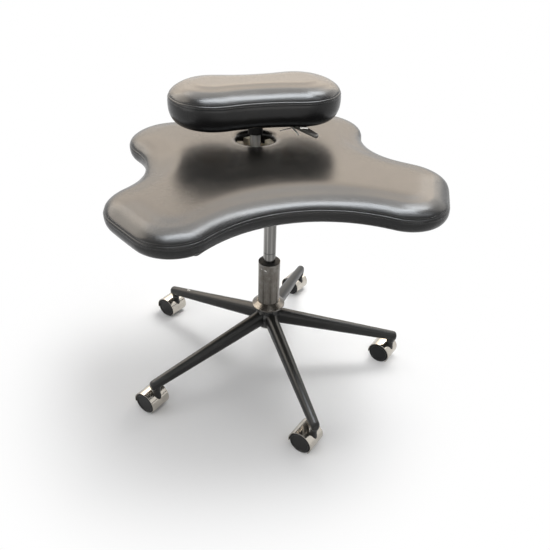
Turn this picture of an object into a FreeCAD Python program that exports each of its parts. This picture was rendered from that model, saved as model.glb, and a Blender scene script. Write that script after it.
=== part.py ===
"""Cross-legged office chair.

A five-star base on twin-wheel castors carries a gas lift with a four-lobed upholstered platform on top.
A second, shorter gas lift rises through a hole in the platform and carries a small waisted upper seat.
Millimetres, Z up, origin on the floor under the main column, front of the platform towards -Y.
"""
import FreeCAD, Part
import Sketcher
import math
import os

LEGS = 5
GROMMET_TABS = 4
ROLL_STEPS = 3

# Driving dimensions: millimetres, and degrees where the name ends in turn, heading, arc, start, dip or bearing.
SIZES = {
    # Fits and clearances
    "running_fit": 0.05,
    "snug_fit": 0.02,
    "running_gap": 0.2,
    "foam_gap": 0.3,
    # Castors
    "castor_heading": -48.8,
    "castor_trail": 17.0,
    "wheel_d": 50.0,
    "wheel_width": 16.5,
    "wheel_side_gap": 0.6,
    "wheel_edge": 1.6,
    "wheel_rim": 4.0,
    "wheel_dish": 1.5,
    "wheel_bore_depth": 11.0,
    "axle_d": 8.0,
    "web_thickness": 16.0,
    "web_drop": 9.0,
    "hood_gap": 1.4,
    "hood_wall": 1.4,
    "hood_start": -42.0,
    "hood_arc": 235.0,
    "neck_d": 16.0,
    "neck_gap": 1.0,
    "neck_rise": 7.5,
    "stem_d": 11.0,
    "stem_length": 47.0,
    "stem_grip": 20.0,
    # Five-star base
    "base_reach": 306.0,
    "base_turn": 58.3,
    "hub_d": 58.0,
    "hub_foot_z": 113.0,
    "hub_height": 56.0,
    "hub_chamfer": 3.0,
    "collar_d": 76.0,
    "collar_height": 12.0,
    "collar_brim": 3.0,
    "leg_root_width": 30.0,
    "leg_root_height": 40.0,
    "leg_root_rise": 22.0,
    "leg_root_sink": 6.0,
    "leg_tip_width": 20.0,
    "leg_tip_height": 24.0,
    "leg_overhang": 13.0,
    "leg_tip_round": 7.0,
    "leg_socket_d": 22.0,
    "leg_socket_foot_d": 19.5,
    "leg_socket_height": 15.5,
    # Gas lifts
    "tube_d": 50.0,
    "tube_bore_d": 42.0,
    "tube_taper": 2.0,
    "tube_floor": 4.0,
    "tube_drop": 5.0,
    "tube_rise": 118.5,
    "bush_length": 56.0,
    "bush_flange": 1.5,
    "bush_step": 1.5,
    "cylinder_d": 28.0,
    "cylinder_wall": 2.5,
    "cylinder_cap": 8.0,
    "cylinder_head": 22.0,
    "cylinder_show": 149.0,
    "cylinder_grip": 66.0,
    "taper_length": 33.0,
    "taper_drop": 1.0,
    "rod_d": 10.0,
    "rod_tail": 6.0,
    "piston_height": 7.0,
    "piston_stop": 14.0,
    "race_d": 26.0,
    "race_height": 2.0,
    "cage_d": 23.0,
    "cage_height": 4.0,
    "clip_d": 18.0,
    "button_d": 8.0,
    "button_length": 18.0,
    "button_proud": 3.5,
    # Platform
    "platform_thickness": 48.0,
    "front_lobe_x": 225.0,
    "front_lobe_y": 176.0,
    "front_lobe_r": 83.0,
    "side_lobe_x": 252.5,
    "side_lobe_y": 101.5,
    "side_lobe_r": 92.0,
    "back_lobe_x": 172.0,
    "back_lobe_y": 217.5,
    "back_lobe_r": 106.0,
    "front_notch_r": 265.0,
    "side_notch_r": 170.0,
    "back_notch_r": 345.0,
    "platform_low_roll": 15.5,
    "platform_low_rise": 22.0,
    "platform_high_roll": 30.0,
    "platform_high_rise": 22.0,
    "platform_crown": 3.0,
    "platform_crown_inset": 58.0,
    "board_thickness": 15.0,
    "board_inset": 22.0,
    "hole_d": 88.0,
    "hole_lip": 10.0,
    # Platform plate and its release lever
    "plate_thickness": 4.0,
    "plate_width": 190.0,
    "plate_front": 95.0,
    "plate_back": 62.0,
    "plate_corner": 18.0,
    "plate_flange": 8.0,
    "socket_d": 44.0,
    "cavity_d": 32.0,
    "lever_room": 30.0,
    "gusset_length": 34.0,
    "gusset_thickness": 4.0,
    "post_ring_d": 62.0,
    "post_ring_height": 26.0,
    "bolt_d": 8.0,
    "bolt_head": 5.5,
    "bolt_key": 13.0,
    "bolt_length": 16.0,
    "bolt_edge": 19.0,
    "bolt_row_front": 66.0,
    "bolt_row_mid": 55.0,
    "bolt_row_back": 190.0,
    "lever_bearing": 224.0,
    "lever_pin_r": 29.0,
    "lever_pin_d": 5.0,
    "lever_tongue_width": 8.0,
    "lever_tongue_height": 5.0,
    "lever_tongue_reach": 3.5,
    "lever_rod_d": 8.0,
    "lever_rod_end": 214.0,
    "lever_gap": 0.2,
    "ear_thickness": 3.0,
    "ear_height": 12.0,
    "ear_margin": 5.0,
    "grip_start": 196.0,
    "grip_length": 66.0,
    "grip_root_r": 11.0,
    "grip_tip_r": 9.0,
    "grip_thickness": 11.0,
    "grip_edge": 3.0,
    # Grommet round the post in the platform's hole
    "grommet_wall": 5.0,
    "grommet_height": 9.0,
    "grommet_tab_reach": 11.0,
    "grommet_tab_arc": 52.0,
    "grommet_tab_height": 25.0,
    "grommet_tab_edge": 1.5,
    # Upper post
    "post_offset": 150.0,
    "post_tube_length": 184.0,
    "post_tube_proud": 5.0,
    "post_bush_length": 52.0,
    "post_bush_flange": 3.0,
    "post_cylinder_d": 24.5,
    "post_end_room": 12.8,
    "post_stroke": 94.0,
    "post_taper_length": 14.0,
    # Upper seat
    "seat_rise": 49.0,
    "seat_thickness": 80.0,
    "seat_end_x": 94.0,
    "seat_end_r": 96.5,
    "seat_front_notch_r": 401.0,
    "seat_back_notch_r": 457.0,
    "seat_low_roll": 27.0,
    "seat_low_rise": 36.0,
    "seat_high_roll": 34.0,
    "seat_high_rise": 26.0,
    "seat_crown": 3.0,
    "seat_crown_inset": 62.0,
    "seat_board_thickness": 12.0,
    "seat_board_inset": 36.0,
    "seat_plate_thickness": 3.0,
    "seat_plate_width": 120.0,
    "seat_plate_depth": 92.0,
    "seat_plate_corner": 14.0,
    "seat_socket_d": 34.0,
    "seat_cavity_d": 28.4,
    "seat_lever_room": 17.0,
    "seat_bolt_d": 6.0,
    "seat_bolt_head": 4.0,
    "seat_bolt_key": 10.0,
    "seat_bolt_length": 12.0,
    "seat_bolt_x": 46.0,
    "seat_bolt_y": 32.0,
    "seat_lever_pin_r": 24.0,
    "seat_lever_tongue_height": 4.0,
    "seat_lever_rod_d": 7.0,
    "seat_lever_rod_end": 82.0,
    "seat_grip_length": 80.0,
    "seat_grip_root_r": 12.0,
    "seat_grip_tip_r": 5.5,
    "seat_grip_thickness": 9.0,
    "seat_grip_turn": -62.0,
    "seat_grip_dip": 7.0,
}


class Size(float):
    """A number that remembers the sheet formula it comes from, so that sums of sizes stay linked."""

    def __new__(cls, value, formula):
        size = super().__new__(cls, value)
        size.formula = formula
        return size

    def __add__(self, other):
        return Size(float(self) + float(other), f"({self.formula} + {formula_of(other)})")

    def __radd__(self, other):
        return Size(float(other) + float(self), f"({formula_of(other)} + {self.formula})")

    def __sub__(self, other):
        return Size(float(self) - float(other), f"({self.formula} - {formula_of(other)})")

    def __rsub__(self, other):
        return Size(float(other) - float(self), f"({formula_of(other)} - {self.formula})")

    def __mul__(self, other):
        return Size(float(self) * float(other), f"({self.formula} * {formula_of(other)})")

    def __rmul__(self, other):
        return Size(float(other) * float(self), f"({formula_of(other)} * {self.formula})")

    def __truediv__(self, other):
        return Size(float(self) / float(other), f"({self.formula} / {formula_of(other)})")

    def __neg__(self):
        return Size(-float(self), f"(-1 * {self.formula})")


def formula_of(value):
    """Text of a size or of a plain number, for an expression."""
    return value.formula if isinstance(value, Size) else repr(float(value))


class Sizes:
    """The sheet of driving dimensions, read as attributes."""

    def __init__(self, document, table):
        sheet = document.addObject("Spreadsheet::Sheet", "Sizes")
        for row, (alias, value) in enumerate(table.items(), start=1):
            sheet.set(f"A{row}", alias)
            sheet.set(f"B{row}", str(value))
            sheet.setAlias(f"B{row}", alias)
        document.recompute()
        for alias in table:
            setattr(self, alias, Size(sheet.get(alias), f"Sizes.{alias}"))


doc = FreeCAD.newDocument("CrossLeggedChair")
d = Sizes(doc, SIZES)
nodes = []

X_AXIS = FreeCAD.Vector(1, 0, 0)
Y_AXIS = FreeCAD.Vector(0, 1, 0)
Z_AXIS = FreeCAD.Vector(0, 0, 1)


def shift(x, y, z):
    """Placement that only moves."""
    return FreeCAD.Placement(FreeCAD.Vector(x, y, z), FreeCAD.Rotation())


def spin(axis, angle):
    """Placement that only turns, in degrees."""
    return FreeCAD.Placement(FreeCAD.Vector(), FreeCAD.Rotation(axis, angle))


def bound(thing, **formulas):
    """Bind properties of a document object to the sheet."""
    for name, size in formulas.items():
        thing.setExpression(name, formula_of(size))
    return thing


def keep(thing, label, solids=1):
    """Mark a document object as a finished piece of the chair."""
    thing.Label = label
    nodes.append((thing, label, solids))
    return thing


# Sketches and bodies

def new_body(name):
    """An empty body."""
    return doc.addObject("PartDesign::Body", name)


def new_sketch(body, name, role, offset=None):
    """A sketch on one of the body's own origin planes, optionally moved along the plane's normal."""
    sketch = body.newObject("Sketcher::SketchObject", name)
    plane = next(item for item in body.Origin.OriginFeatures if item.Role == role)
    sketch.AttachmentSupport = [(plane, "")]
    sketch.MapMode = "FlatFace"
    if offset is not None:
        sketch.setExpression("AttachmentOffset.Base.z", formula_of(offset))
    return sketch


def pin_point(sketch, geometry, end, across, up):
    """Hold one end of a sketch element at a distance across and up from the sketch origin."""
    for kind, axis, size in (("DistanceX", -2, across), ("DistanceY", -1, up)):
        if float(size) == 0.0 and not isinstance(size, Size):
            sketch.addConstraint(Sketcher.Constraint("PointOnObject", geometry, end, axis))
            continue
        index = sketch.addConstraint(Sketcher.Constraint(kind, -1, 1, geometry, end, float(size)))
        sketch.setExpression(f"Constraints[{index}]", formula_of(size))


def draw_corners(sketch, corners):
    """Closed outline of straight edges through corners given as (across, up) sizes."""
    count = len(corners)
    points = [FreeCAD.Vector(float(across), float(up), 0) for across, up in corners]
    for index in range(count):
        sketch.addGeometry(Part.LineSegment(points[index], points[(index + 1) % count]))
    for index in range(count):
        sketch.addConstraint(Sketcher.Constraint("Coincident", index, 2, (index + 1) % count, 1))
    for index, (across, up) in enumerate(corners):
        pin_point(sketch, index, 1, across, up)


def draw_circle(sketch, across, up, radius):
    """A circle at a place given by sizes."""
    centre = FreeCAD.Vector(float(across), float(up), 0)
    index = sketch.addGeometry(Part.Circle(centre, FreeCAD.Vector(0, 0, 1), float(radius)))
    pin_point(sketch, index, 3, across, up)
    rule = sketch.addConstraint(Sketcher.Constraint("Radius", index, float(radius)))
    sketch.setExpression(f"Constraints[{rule}]", formula_of(radius))


def draw_capsule(sketch, near_r, far_r, near, far, upright):
    """Two arcs joined by tangent lines, with centres on one sketch axis at the sizes near and far."""
    step = float(far) - float(near)
    lean = math.asin((float(near_r) - float(far_r)) / step)
    place = (lambda a, b: FreeCAD.Vector(-b, a, 0)) if upright else (lambda a, b: FreeCAD.Vector(a, b, 0))
    base = math.pi / 2 if upright else 0.0
    side = math.pi / 2 - lean

    def arc(at, radius, start, stop):
        circle = Part.Circle(place(float(at), 0), FreeCAD.Vector(0, 0, 1), float(radius))
        return Part.ArcOfCircle(circle, base + start, base + stop)

    def touch(at, radius, sign):
        return place(float(at) + float(radius) * math.cos(side), sign * float(radius) * math.sin(side))

    sketch.addGeometry(arc(far, far_r, -side, side))
    sketch.addGeometry(Part.LineSegment(touch(far, far_r, 1), touch(near, near_r, 1)))
    sketch.addGeometry(arc(near, near_r, side, 2 * math.pi - side))
    sketch.addGeometry(Part.LineSegment(touch(near, near_r, -1), touch(far, far_r, -1)))
    for index in range(4):
        sketch.addConstraint(Sketcher.Constraint("Tangent", index, 2, (index + 1) % 4, 1))
    for index, radius, at in ((0, far_r, far), (2, near_r, near)):
        pin_point(sketch, index, 3, 0 if upright else at, at if upright else 0)
        rule = sketch.addConstraint(Sketcher.Constraint("Radius", index, float(radius)))
        sketch.setExpression(f"Constraints[{rule}]", formula_of(radius))


def turned(name, corners, arc=None):
    """A body turned about its Z axis from (radius, height) corners, all round or through an arc."""
    body = new_body(name)
    sketch = new_sketch(body, name + "_section", "XZ_Plane")
    draw_corners(sketch, corners)
    feature = body.newObject("PartDesign::Revolution", name + "_turned")
    feature.Profile = sketch
    feature.ReferenceAxis = (sketch, ["V_Axis"])
    feature.Angle = 360.0
    if arc is not None:
        bound(feature, Angle=arc)
    return body


def turned_into(body, kind, name, corners):
    """Add or cut a form turned about the body's Z axis."""
    sketch = new_sketch(body, name + "_section", "XZ_Plane")
    draw_corners(sketch, corners)
    feature = body.newObject("PartDesign::" + kind, name)
    feature.Profile = sketch
    feature.ReferenceAxis = (sketch, ["V_Axis"])
    feature.Angle = 360.0
    return feature


def end_face(shape, direction):
    """Name of the face that lies furthest along a direction."""
    reach = [face.CenterOfMass.dot(direction) for face in shape.Faces]
    return f"Face{reach.index(max(reach)) + 1}"


# Part primitives and booleans

def block(name, place, across, deep, high):
    """A box with its low corner at the placement."""
    thing = bound(doc.addObject("Part::Box", name), Length=across, Width=deep, Height=high)
    thing.Placement = place
    return thing


def drum(name, place, radius, high):
    """A cylinder standing on the placement."""
    thing = bound(doc.addObject("Part::Cylinder", name), Radius=radius, Height=high)
    thing.Placement = place
    return thing


def fused(name, pieces):
    """One solid of several that overlap."""
    thing = doc.addObject("Part::MultiFuse", name)
    thing.Shapes = pieces
    return thing


def cut(name, base, tools):
    """A base less one or more tools."""
    thing = doc.addObject("Part::Cut", name)
    thing.Base = base
    thing.Tool = tools[0] if len(tools) == 1 else fused(name + "_tools", tools)
    return thing


def grouped(name, pieces):
    """Several separate solids in one piece."""
    thing = doc.addObject("Part::Compound", name)
    thing.Links = pieces
    return thing


def ring(name, place, outer, inner, high):
    """A flat ring standing on the placement."""
    return cut(name, drum(name + "_disc", place, outer, high), [drum(name + "_bore", place, inner, high)])


# Outlines of lobes and hollows, in plan

def join_discs(first, second, notch_r):
    """Where an outline leaves one disc and meets the next, with the middle of the hollow between them.

    Without a notch radius the two discs are joined by their outer tangent line, which has no middle.
    """
    (centre_a, radius_a), (centre_b, radius_b) = first, second
    run = centre_b - centre_a
    along = FreeCAD.Vector(run).normalize()
    outside = FreeCAD.Vector(along.y, -along.x, 0)
    if notch_r is None:
        lean = (radius_a - radius_b) / run.Length
        normal = outside * math.sqrt(1 - lean ** 2) + along * lean
        return centre_a + normal * radius_a, None, centre_b + normal * radius_b
    reach_a = radius_a + notch_r
    reach_b = radius_b + notch_r
    forward = (reach_a ** 2 - reach_b ** 2 + run.Length ** 2) / (2 * run.Length)
    hollow = centre_a + along * forward + outside * math.sqrt(reach_a ** 2 - forward ** 2)
    leave = centre_a + (hollow - centre_a).normalize() * radius_a
    meet = centre_b + (hollow - centre_b).normalize() * radius_b
    middle = hollow + ((leave + meet) * 0.5 - hollow).normalize() * notch_r
    return leave, middle, meet


def lobed_wire(discs, notches, inset, z):
    """Closed wire round discs in anticlockwise order, drawn in by an inset, at a height."""
    drawn = [(FreeCAD.Vector(x, y, z), radius - inset) for x, y, radius in discs]
    count = len(drawn)
    joins = [join_discs(drawn[k], drawn[(k + 1) % count], notches[k] and notches[k] + inset) for k in range(count)]
    edges = []
    for k, (centre, radius) in enumerate(drawn):
        start = joins[k - 1][2]
        leave, middle, meet = joins[k]
        begin = math.atan2(start.y - centre.y, start.x - centre.x)
        sweep = (math.atan2(leave.y - centre.y, leave.x - centre.x) - begin) % (2 * math.pi)
        rim = [start]
        for quarter in (1, 2, 3):
            angle = begin + sweep * quarter / 4
            rim.append(centre + FreeCAD.Vector(math.cos(angle), math.sin(angle), 0) * radius)
        rim.append(leave)
        edges.append(Part.Arc(rim[0], rim[1], rim[2]).toShape())
        edges.append(Part.Arc(rim[2], rim[3], rim[4]).toShape())
        edges.append(Part.Arc(leave, middle, meet).toShape() if middle else Part.makeLine(leave, meet))
    return Part.Wire(edges)


def slab(discs, notches, inset, foot, high):
    """Flat board of a lobed outline."""
    face = Part.Face(lobed_wire(discs, notches, inset, foot))
    return face.extrude(FreeCAD.Vector(0, 0, high))


def cushion(discs, notches, foot, top, low, high, crown):
    """Upholstered pad: rolled lower edge, fullest part way up, rolled upper edge and a crowned top.

    low, high and crown are (inset, rise) pairs of the lower roll, the upper roll and the crown.
    """
    levels = []
    for step in range(ROLL_STEPS + 1):
        angle = math.radians(90 * step / ROLL_STEPS)
        levels.append((foot + low[1] * (1 - math.cos(angle)), low[0] * (1 - math.sin(angle))))
    for step in range(ROLL_STEPS + 1):
        angle = math.radians(90 * step / ROLL_STEPS)
        levels.append((top - high[1] * (1 - math.sin(angle)), high[0] * (1 - math.cos(angle))))
    levels.append((top + crown[1], crown[0]))
    wires = [lobed_wire(discs, notches, inset, z) for z, inset in levels]
    return Part.makeLoft(wires, True, False)


def piece_from(shape, label):
    """A finished piece from a shape worked out here."""
    thing = doc.addObject("Part::Feature", label)
    thing.Shape = shape
    return keep(thing, label)


# Heights that several pieces share, worked up from the floor

wheel_r = d.wheel_d / 2
neck_top = d.wheel_d + d.neck_rise
leg_socket_foot = neck_top + d.neck_gap
leg_tip_z = leg_socket_foot + d.leg_socket_height
stem_top = leg_socket_foot + d.stem_grip
stem_foot = stem_top - d.stem_length
hub_top = d.hub_foot_z + d.hub_height
tube_foot = d.hub_foot_z - d.tube_drop
tube_top = hub_top + d.tube_rise
cylinder_foot = tube_top - d.cylinder_grip
cylinder_top = tube_top + d.bush_flange + d.cylinder_show
plate_under = cylinder_top + d.lever_room
platform_foot = plate_under + d.plate_thickness
platform_top = platform_foot + d.platform_thickness
board_top = platform_foot + d.board_thickness
post_tube_top = board_top + d.post_tube_proud
post_tube_foot = post_tube_top - d.post_tube_length
seat_foot = platform_top + d.seat_rise
seat_plate_under = seat_foot - d.seat_plate_thickness
post_top = seat_plate_under - d.seat_lever_room
thrust_height = d.running_gap + d.race_height * 2 + d.cage_height
post_foot = post_tube_foot + d.tube_floor + thrust_height + d.post_end_room
rod_r = d.rod_d / 2
tube_r = d.tube_d / 2


# Castors

def castor(number, place):
    """One twin-wheel castor, its stem on the local Z axis and its wheels trailing towards local -X."""
    name = f"castor_{number}"
    hood_bore_r = wheel_r + d.hood_gap
    half_web = d.web_thickness / 2
    axle_r = d.axle_d / 2
    at_axle = place * shift(-d.castor_trail, 0, wheel_r)

    yoke = new_body(name + "_yoke")
    web = new_sketch(yoke, name + "_web", "XZ_Plane")
    rim = hood_bore_r - d.running_gap
    centre = FreeCAD.Vector(-d.castor_trail, wheel_r, 0)
    drop = math.asin(d.web_drop / rim)
    circle = Part.Circle(centre, FreeCAD.Vector(0, 0, 1), rim)
    web.addGeometry(Part.ArcOfCircle(circle, -drop, math.pi + drop))
    reach = rim * math.cos(drop)
    low = -float(d.web_drop)
    web.addGeometry(Part.LineSegment(centre + FreeCAD.Vector(-reach, low, 0), centre + FreeCAD.Vector(reach, low, 0)))
    web.addConstraint(Sketcher.Constraint("Coincident", 0, 2, 1, 1))
    web.addConstraint(Sketcher.Constraint("Coincident", 1, 2, 0, 1))
    web.addConstraint(Sketcher.Constraint("Horizontal", 1))
    pin_point(web, 0, 3, -d.castor_trail, wheel_r)
    for kind, ends, size in (("Radius", (0,), rim), ("DistanceY", (-1, 1, 1, 1), wheel_r - d.web_drop)):
        rule = web.addConstraint(Sketcher.Constraint(kind, *ends, float(size)))
        web.setExpression(f"Constraints[{rule}]", formula_of(size))
    pad = yoke.newObject("PartDesign::Pad", name + "_web_pad")
    pad.Profile = web
    pad.SideType = "Symmetric"
    bound(pad, Length=d.web_thickness)
    neck_foot = stem_foot - d.neck_gap
    neck = [(0, neck_foot), (d.neck_d / 2, neck_foot), (d.neck_d / 2, neck_top), (0, neck_top)]
    turned_into(yoke, "Revolution", name + "_neck", neck)
    bore_r = d.stem_d / 2 + d.running_fit
    bore_foot = stem_foot - d.running_gap
    bore = [(0, bore_foot), (bore_r, bore_foot), (bore_r, neck_top + 1), (0, neck_top + 1)]
    turned_into(yoke, "Groove", name + "_stem_bore", bore)
    axle_sketch = new_sketch(yoke, name + "_axle_hole", "XZ_Plane")
    draw_circle(axle_sketch, -d.castor_trail, wheel_r, axle_r + d.snug_fit)
    hole = yoke.newObject("PartDesign::Pocket", name + "_axle_bore")
    hole.Profile = axle_sketch
    hole.SideType = "Symmetric"
    bound(hole, Length=d.web_thickness + 2)
    yoke.Placement = place
    keep(yoke, name + "_yoke")

    half_width = half_web + d.wheel_side_gap + d.wheel_width
    wall = hood_bore_r + d.hood_wall
    band = [(hood_bore_r, -half_width), (wall, -half_width), (wall, half_width), (hood_bore_r, half_width)]
    shell = turned(name + "_shell", band, d.hood_arc)
    shell.Placement = at_axle * spin(X_AXIS, 90) * spin(Z_AXIS, d.hood_start)
    notch = drum(name + "_notch", place * shift(0, 0, wheel_r), d.neck_d / 2 + d.neck_gap, d.wheel_d)
    keep(cut(name + "_hood", shell, [notch]), name + "_hood")

    axle_length = d.web_thickness + (d.wheel_side_gap + d.wheel_bore_depth - d.running_gap) * 2
    axle_foot = at_axle * spin(X_AXIS, 90) * shift(0, 0, -axle_length / 2)
    keep(drum(name + "_axle", axle_foot, axle_r, axle_length), name + "_axle")

    face = d.wheel_width - d.wheel_dish
    tread_in = wheel_r - d.wheel_rim
    section = [
        (axle_r + d.running_fit, 0),
        (wheel_r - d.wheel_edge, 0),
        (wheel_r, d.wheel_edge),
        (wheel_r, d.wheel_width - d.wheel_edge),
        (wheel_r - d.wheel_edge, d.wheel_width),
        (tread_in, d.wheel_width),
        (tread_in - d.wheel_edge, face),
        (0, face),
        (0, d.wheel_bore_depth),
        (axle_r + d.running_fit, d.wheel_bore_depth),
    ]
    for letter, side, tilt in (("a", -1, 90), ("b", 1, -90)):
        wheel = turned(f"{name}_wheel_{letter}", section)
        out = side * (half_web + d.wheel_side_gap)
        wheel.Placement = at_axle * shift(0, out, 0) * spin(X_AXIS, tilt)
        keep(wheel, f"{name}_wheel_{letter}")


# Five-star base

def leg(number, place):
    """One tapering oval leg, its castor stem on the local Z axis and the hub towards local -X."""
    name = f"leg_{number}"
    body = new_body(name)
    root_x = d.hub_d / 2 - d.leg_root_sink - d.base_reach
    root_z = d.hub_foot_z + d.leg_root_rise
    shoulder_x = d.leg_overhang - d.leg_tip_round
    slope = (root_z - leg_tip_z) / (shoulder_x - root_x)

    def section(part, x, width, height):
        sketch = new_sketch(body, f"{name}_{part}", "YZ_Plane", x)
        z = leg_tip_z - slope * (x - shoulder_x)
        half = (height - width) / 2
        draw_capsule(sketch, width / 2, width / 2, z - half, z + half, True)
        return sketch

    def loft(part, sections):
        feature = body.newObject("PartDesign::AdditiveLoft", f"{name}_{part}")
        feature.Profile = sections[0]
        feature.Sections = sections[1:]

    root = section("root", root_x, d.leg_root_width, d.leg_root_height)
    loft("shaft", [root, section("shoulder", shoulder_x, d.leg_tip_width, d.leg_tip_height)])
    nose = []
    for step, angle in enumerate((0, 45, 75)):
        x = shoulder_x + d.leg_tip_round * math.sin(math.radians(angle))
        inset = d.leg_tip_round * (1 - math.cos(math.radians(angle)))
        nose.append(section(f"nose_{step}", x, d.leg_tip_width - inset * 2, d.leg_tip_height - inset * 2))
    loft("nose", nose)
    socket = [
        (0, leg_socket_foot),
        (d.leg_socket_foot_d / 2, leg_socket_foot),
        (d.leg_socket_d / 2, leg_tip_z),
        (0, leg_tip_z),
    ]
    turned_into(body, "Revolution", name + "_socket", socket)
    bore_r = d.stem_d / 2 + d.snug_fit
    bore = [
        (0, leg_socket_foot - 1),
        (bore_r, leg_socket_foot - 1),
        (bore_r, stem_top + d.running_gap),
        (0, stem_top + d.running_gap),
    ]
    turned_into(body, "Groove", name + "_stem_bore", bore)
    hub_cut = body.newObject("PartDesign::SubtractiveCylinder", name + "_hub_cut")
    bound(hub_cut, Radius=d.hub_d / 2 + d.snug_fit, Height=hub_top)
    hub_cut.Placement = shift(-d.base_reach, 0, 0)
    body.Placement = place
    keep(body, name)


def base():
    """Hub, collar, legs, castor stems and castors."""
    bore_low = tube_r - d.tube_taper + d.snug_fit
    bore_high = tube_r + d.snug_fit
    hub_r = d.hub_d / 2
    keep(turned("base_hub", [
        (bore_low, d.hub_foot_z),
        (hub_r - d.hub_chamfer, d.hub_foot_z),
        (hub_r, d.hub_foot_z + d.hub_chamfer),
        (hub_r, hub_top),
        (bore_high, hub_top),
    ]), "base_hub")
    collar_bore = tube_r + d.running_fit
    keep(turned("base_collar", [
        (collar_bore, hub_top),
        (d.collar_d / 2, hub_top),
        (d.collar_d / 2, hub_top + d.collar_brim),
        (collar_bore + d.collar_brim / 2, hub_top + d.collar_height),
        (collar_bore, hub_top + d.collar_height),
    ]), "base_collar")
    stems = []
    for number in range(1, LEGS + 1):
        bearing = d.base_turn + 360 / LEGS * (number - 1)
        out = spin(Z_AXIS, bearing) * shift(d.base_reach, 0, 0)
        foot = shift(out.Base.x, out.Base.y, 0)
        leg(number, out)
        stems.append(drum(f"castor_stem_{number}", foot * shift(0, 0, stem_foot), d.stem_d / 2, d.stem_length))
        castor(number, foot * spin(Z_AXIS, d.castor_heading))
    keep(grouped("castor_stems", stems), "castor_stems", LEGS)


# Gas lifts

def lift_insides(name, place, cylinder_r, tube_low, tube_high, bush_length, flange, foot, top, taper, piston):
    """Bush, cylinder, rod, thrust bearing and release button of one gas lift, in its tube."""
    shaft_r = rod_r + d.running_fit
    slide_r = cylinder_r + d.running_fit
    bush_r = d.tube_bore_d / 2 - d.snug_fit
    bush = turned(name + "_bush", [
        (slide_r, tube_high - bush_length),
        (bush_r, tube_high - bush_length),
        (bush_r, tube_high),
        (tube_r - d.bush_step, tube_high),
        (tube_r - d.bush_step, tube_high + flange),
        (slide_r, tube_high + flange),
    ])
    bore_r = cylinder_r - d.cylinder_wall
    button_bore_r = d.button_d / 2 + d.running_fit
    cylinder = turned(name + "_cylinder", [
        (shaft_r, foot),
        (cylinder_r, foot),
        (cylinder_r, top - taper),
        (cylinder_r - d.taper_drop, top),
        (button_bore_r, top),
        (button_bore_r, top - d.cylinder_head),
        (bore_r, top - d.cylinder_head),
        (bore_r, foot + d.cylinder_cap),
        (shaft_r, foot + d.cylinder_cap),
    ])
    tail = tube_low - d.rod_tail
    piston_r = bore_r - d.running_fit
    rod = turned(name + "_rod", [
        (0, tail),
        (rod_r, tail),
        (rod_r, piston),
        (piston_r, piston),
        (piston_r, piston + d.piston_height),
        (0, piston + d.piston_height),
    ])
    washers = []
    low = tube_low + d.tube_floor + d.running_gap
    stack = (("lower_race", d.race_d, d.race_height), ("cage", d.cage_d, d.cage_height),
             ("upper_race", d.race_d, d.race_height))
    for part, wide, high in stack:
        washers.append(ring(f"{name}_{part}", place * shift(0, 0, low), wide / 2, rod_r + d.snug_fit, high))
        low = low + high
    clip_foot = tube_low - d.running_gap - d.race_height
    washers.append(ring(name + "_clip", place * shift(0, 0, clip_foot), d.clip_d / 2, rod_r + d.snug_fit,
                        d.race_height))
    button_foot = place * shift(0, 0, top + d.button_proud - d.button_length)
    button = drum(name + "_button", button_foot, d.button_d / 2, d.button_length)
    for body, part in ((bush, "bush"), (cylinder, "cylinder"), (rod, "rod")):
        body.Placement = place
        keep(body, f"{name}_{part}")
    keep(grouped(name + "_thrust_set", washers), name + "_thrust_set", len(washers))
    keep(button, name + "_button")


def column():
    """Main gas lift, pressed into the hub."""
    bore_r = d.tube_bore_d / 2
    shaft_r = rod_r + d.running_fit
    keep(turned("column_tube", [
        (shaft_r, tube_foot),
        (tube_r - d.tube_taper, tube_foot),
        (tube_r - d.tube_taper, d.hub_foot_z),
        (tube_r, hub_top),
        (tube_r, tube_top),
        (bore_r, tube_top),
        (bore_r, tube_foot + d.tube_floor),
        (shaft_r, tube_foot + d.tube_floor),
    ]), "column_tube")
    piston = cylinder_foot + d.cylinder_cap + d.piston_stop
    lift_insides("column", shift(0, 0, 0), d.cylinder_d / 2, tube_foot, tube_top, d.bush_length,
                 d.bush_flange, cylinder_foot, cylinder_top, d.taper_length, piston)


def post():
    """Upper gas lift, carried by the platform's plate."""
    place = shift(0, d.post_offset, 0)
    bore_r = d.tube_bore_d / 2
    shaft_r = rod_r + d.running_fit
    tube = turned("post_tube", [
        (shaft_r, post_tube_foot),
        (tube_r, post_tube_foot),
        (tube_r, post_tube_top),
        (bore_r, post_tube_top),
        (bore_r, post_tube_foot + d.tube_floor),
        (shaft_r, post_tube_foot + d.tube_floor),
    ])
    tube.Placement = place
    keep(tube, "post_tube")
    piston = post_foot + d.cylinder_cap + d.post_stroke
    lift_insides("post", place, d.post_cylinder_d / 2, post_tube_foot, post_tube_top, d.post_bush_length,
                 d.post_bush_flange, post_foot, post_top, d.post_taper_length, piston)


# Plates, levers and bolts

def lift_socket(name, cylinder_r, socket_r, cavity_r, top, taper, under):
    """Socket that grips a lift's tapered head, with a chamber over it for the lever's tongue."""
    return turned(name, [
        (cylinder_r + d.snug_fit, top - taper),
        (socket_r, top - taper),
        (socket_r, under),
        (cavity_r, under),
        (cavity_r, top),
        (cylinder_r - d.taper_drop + d.snug_fit, top),
    ])


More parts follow.
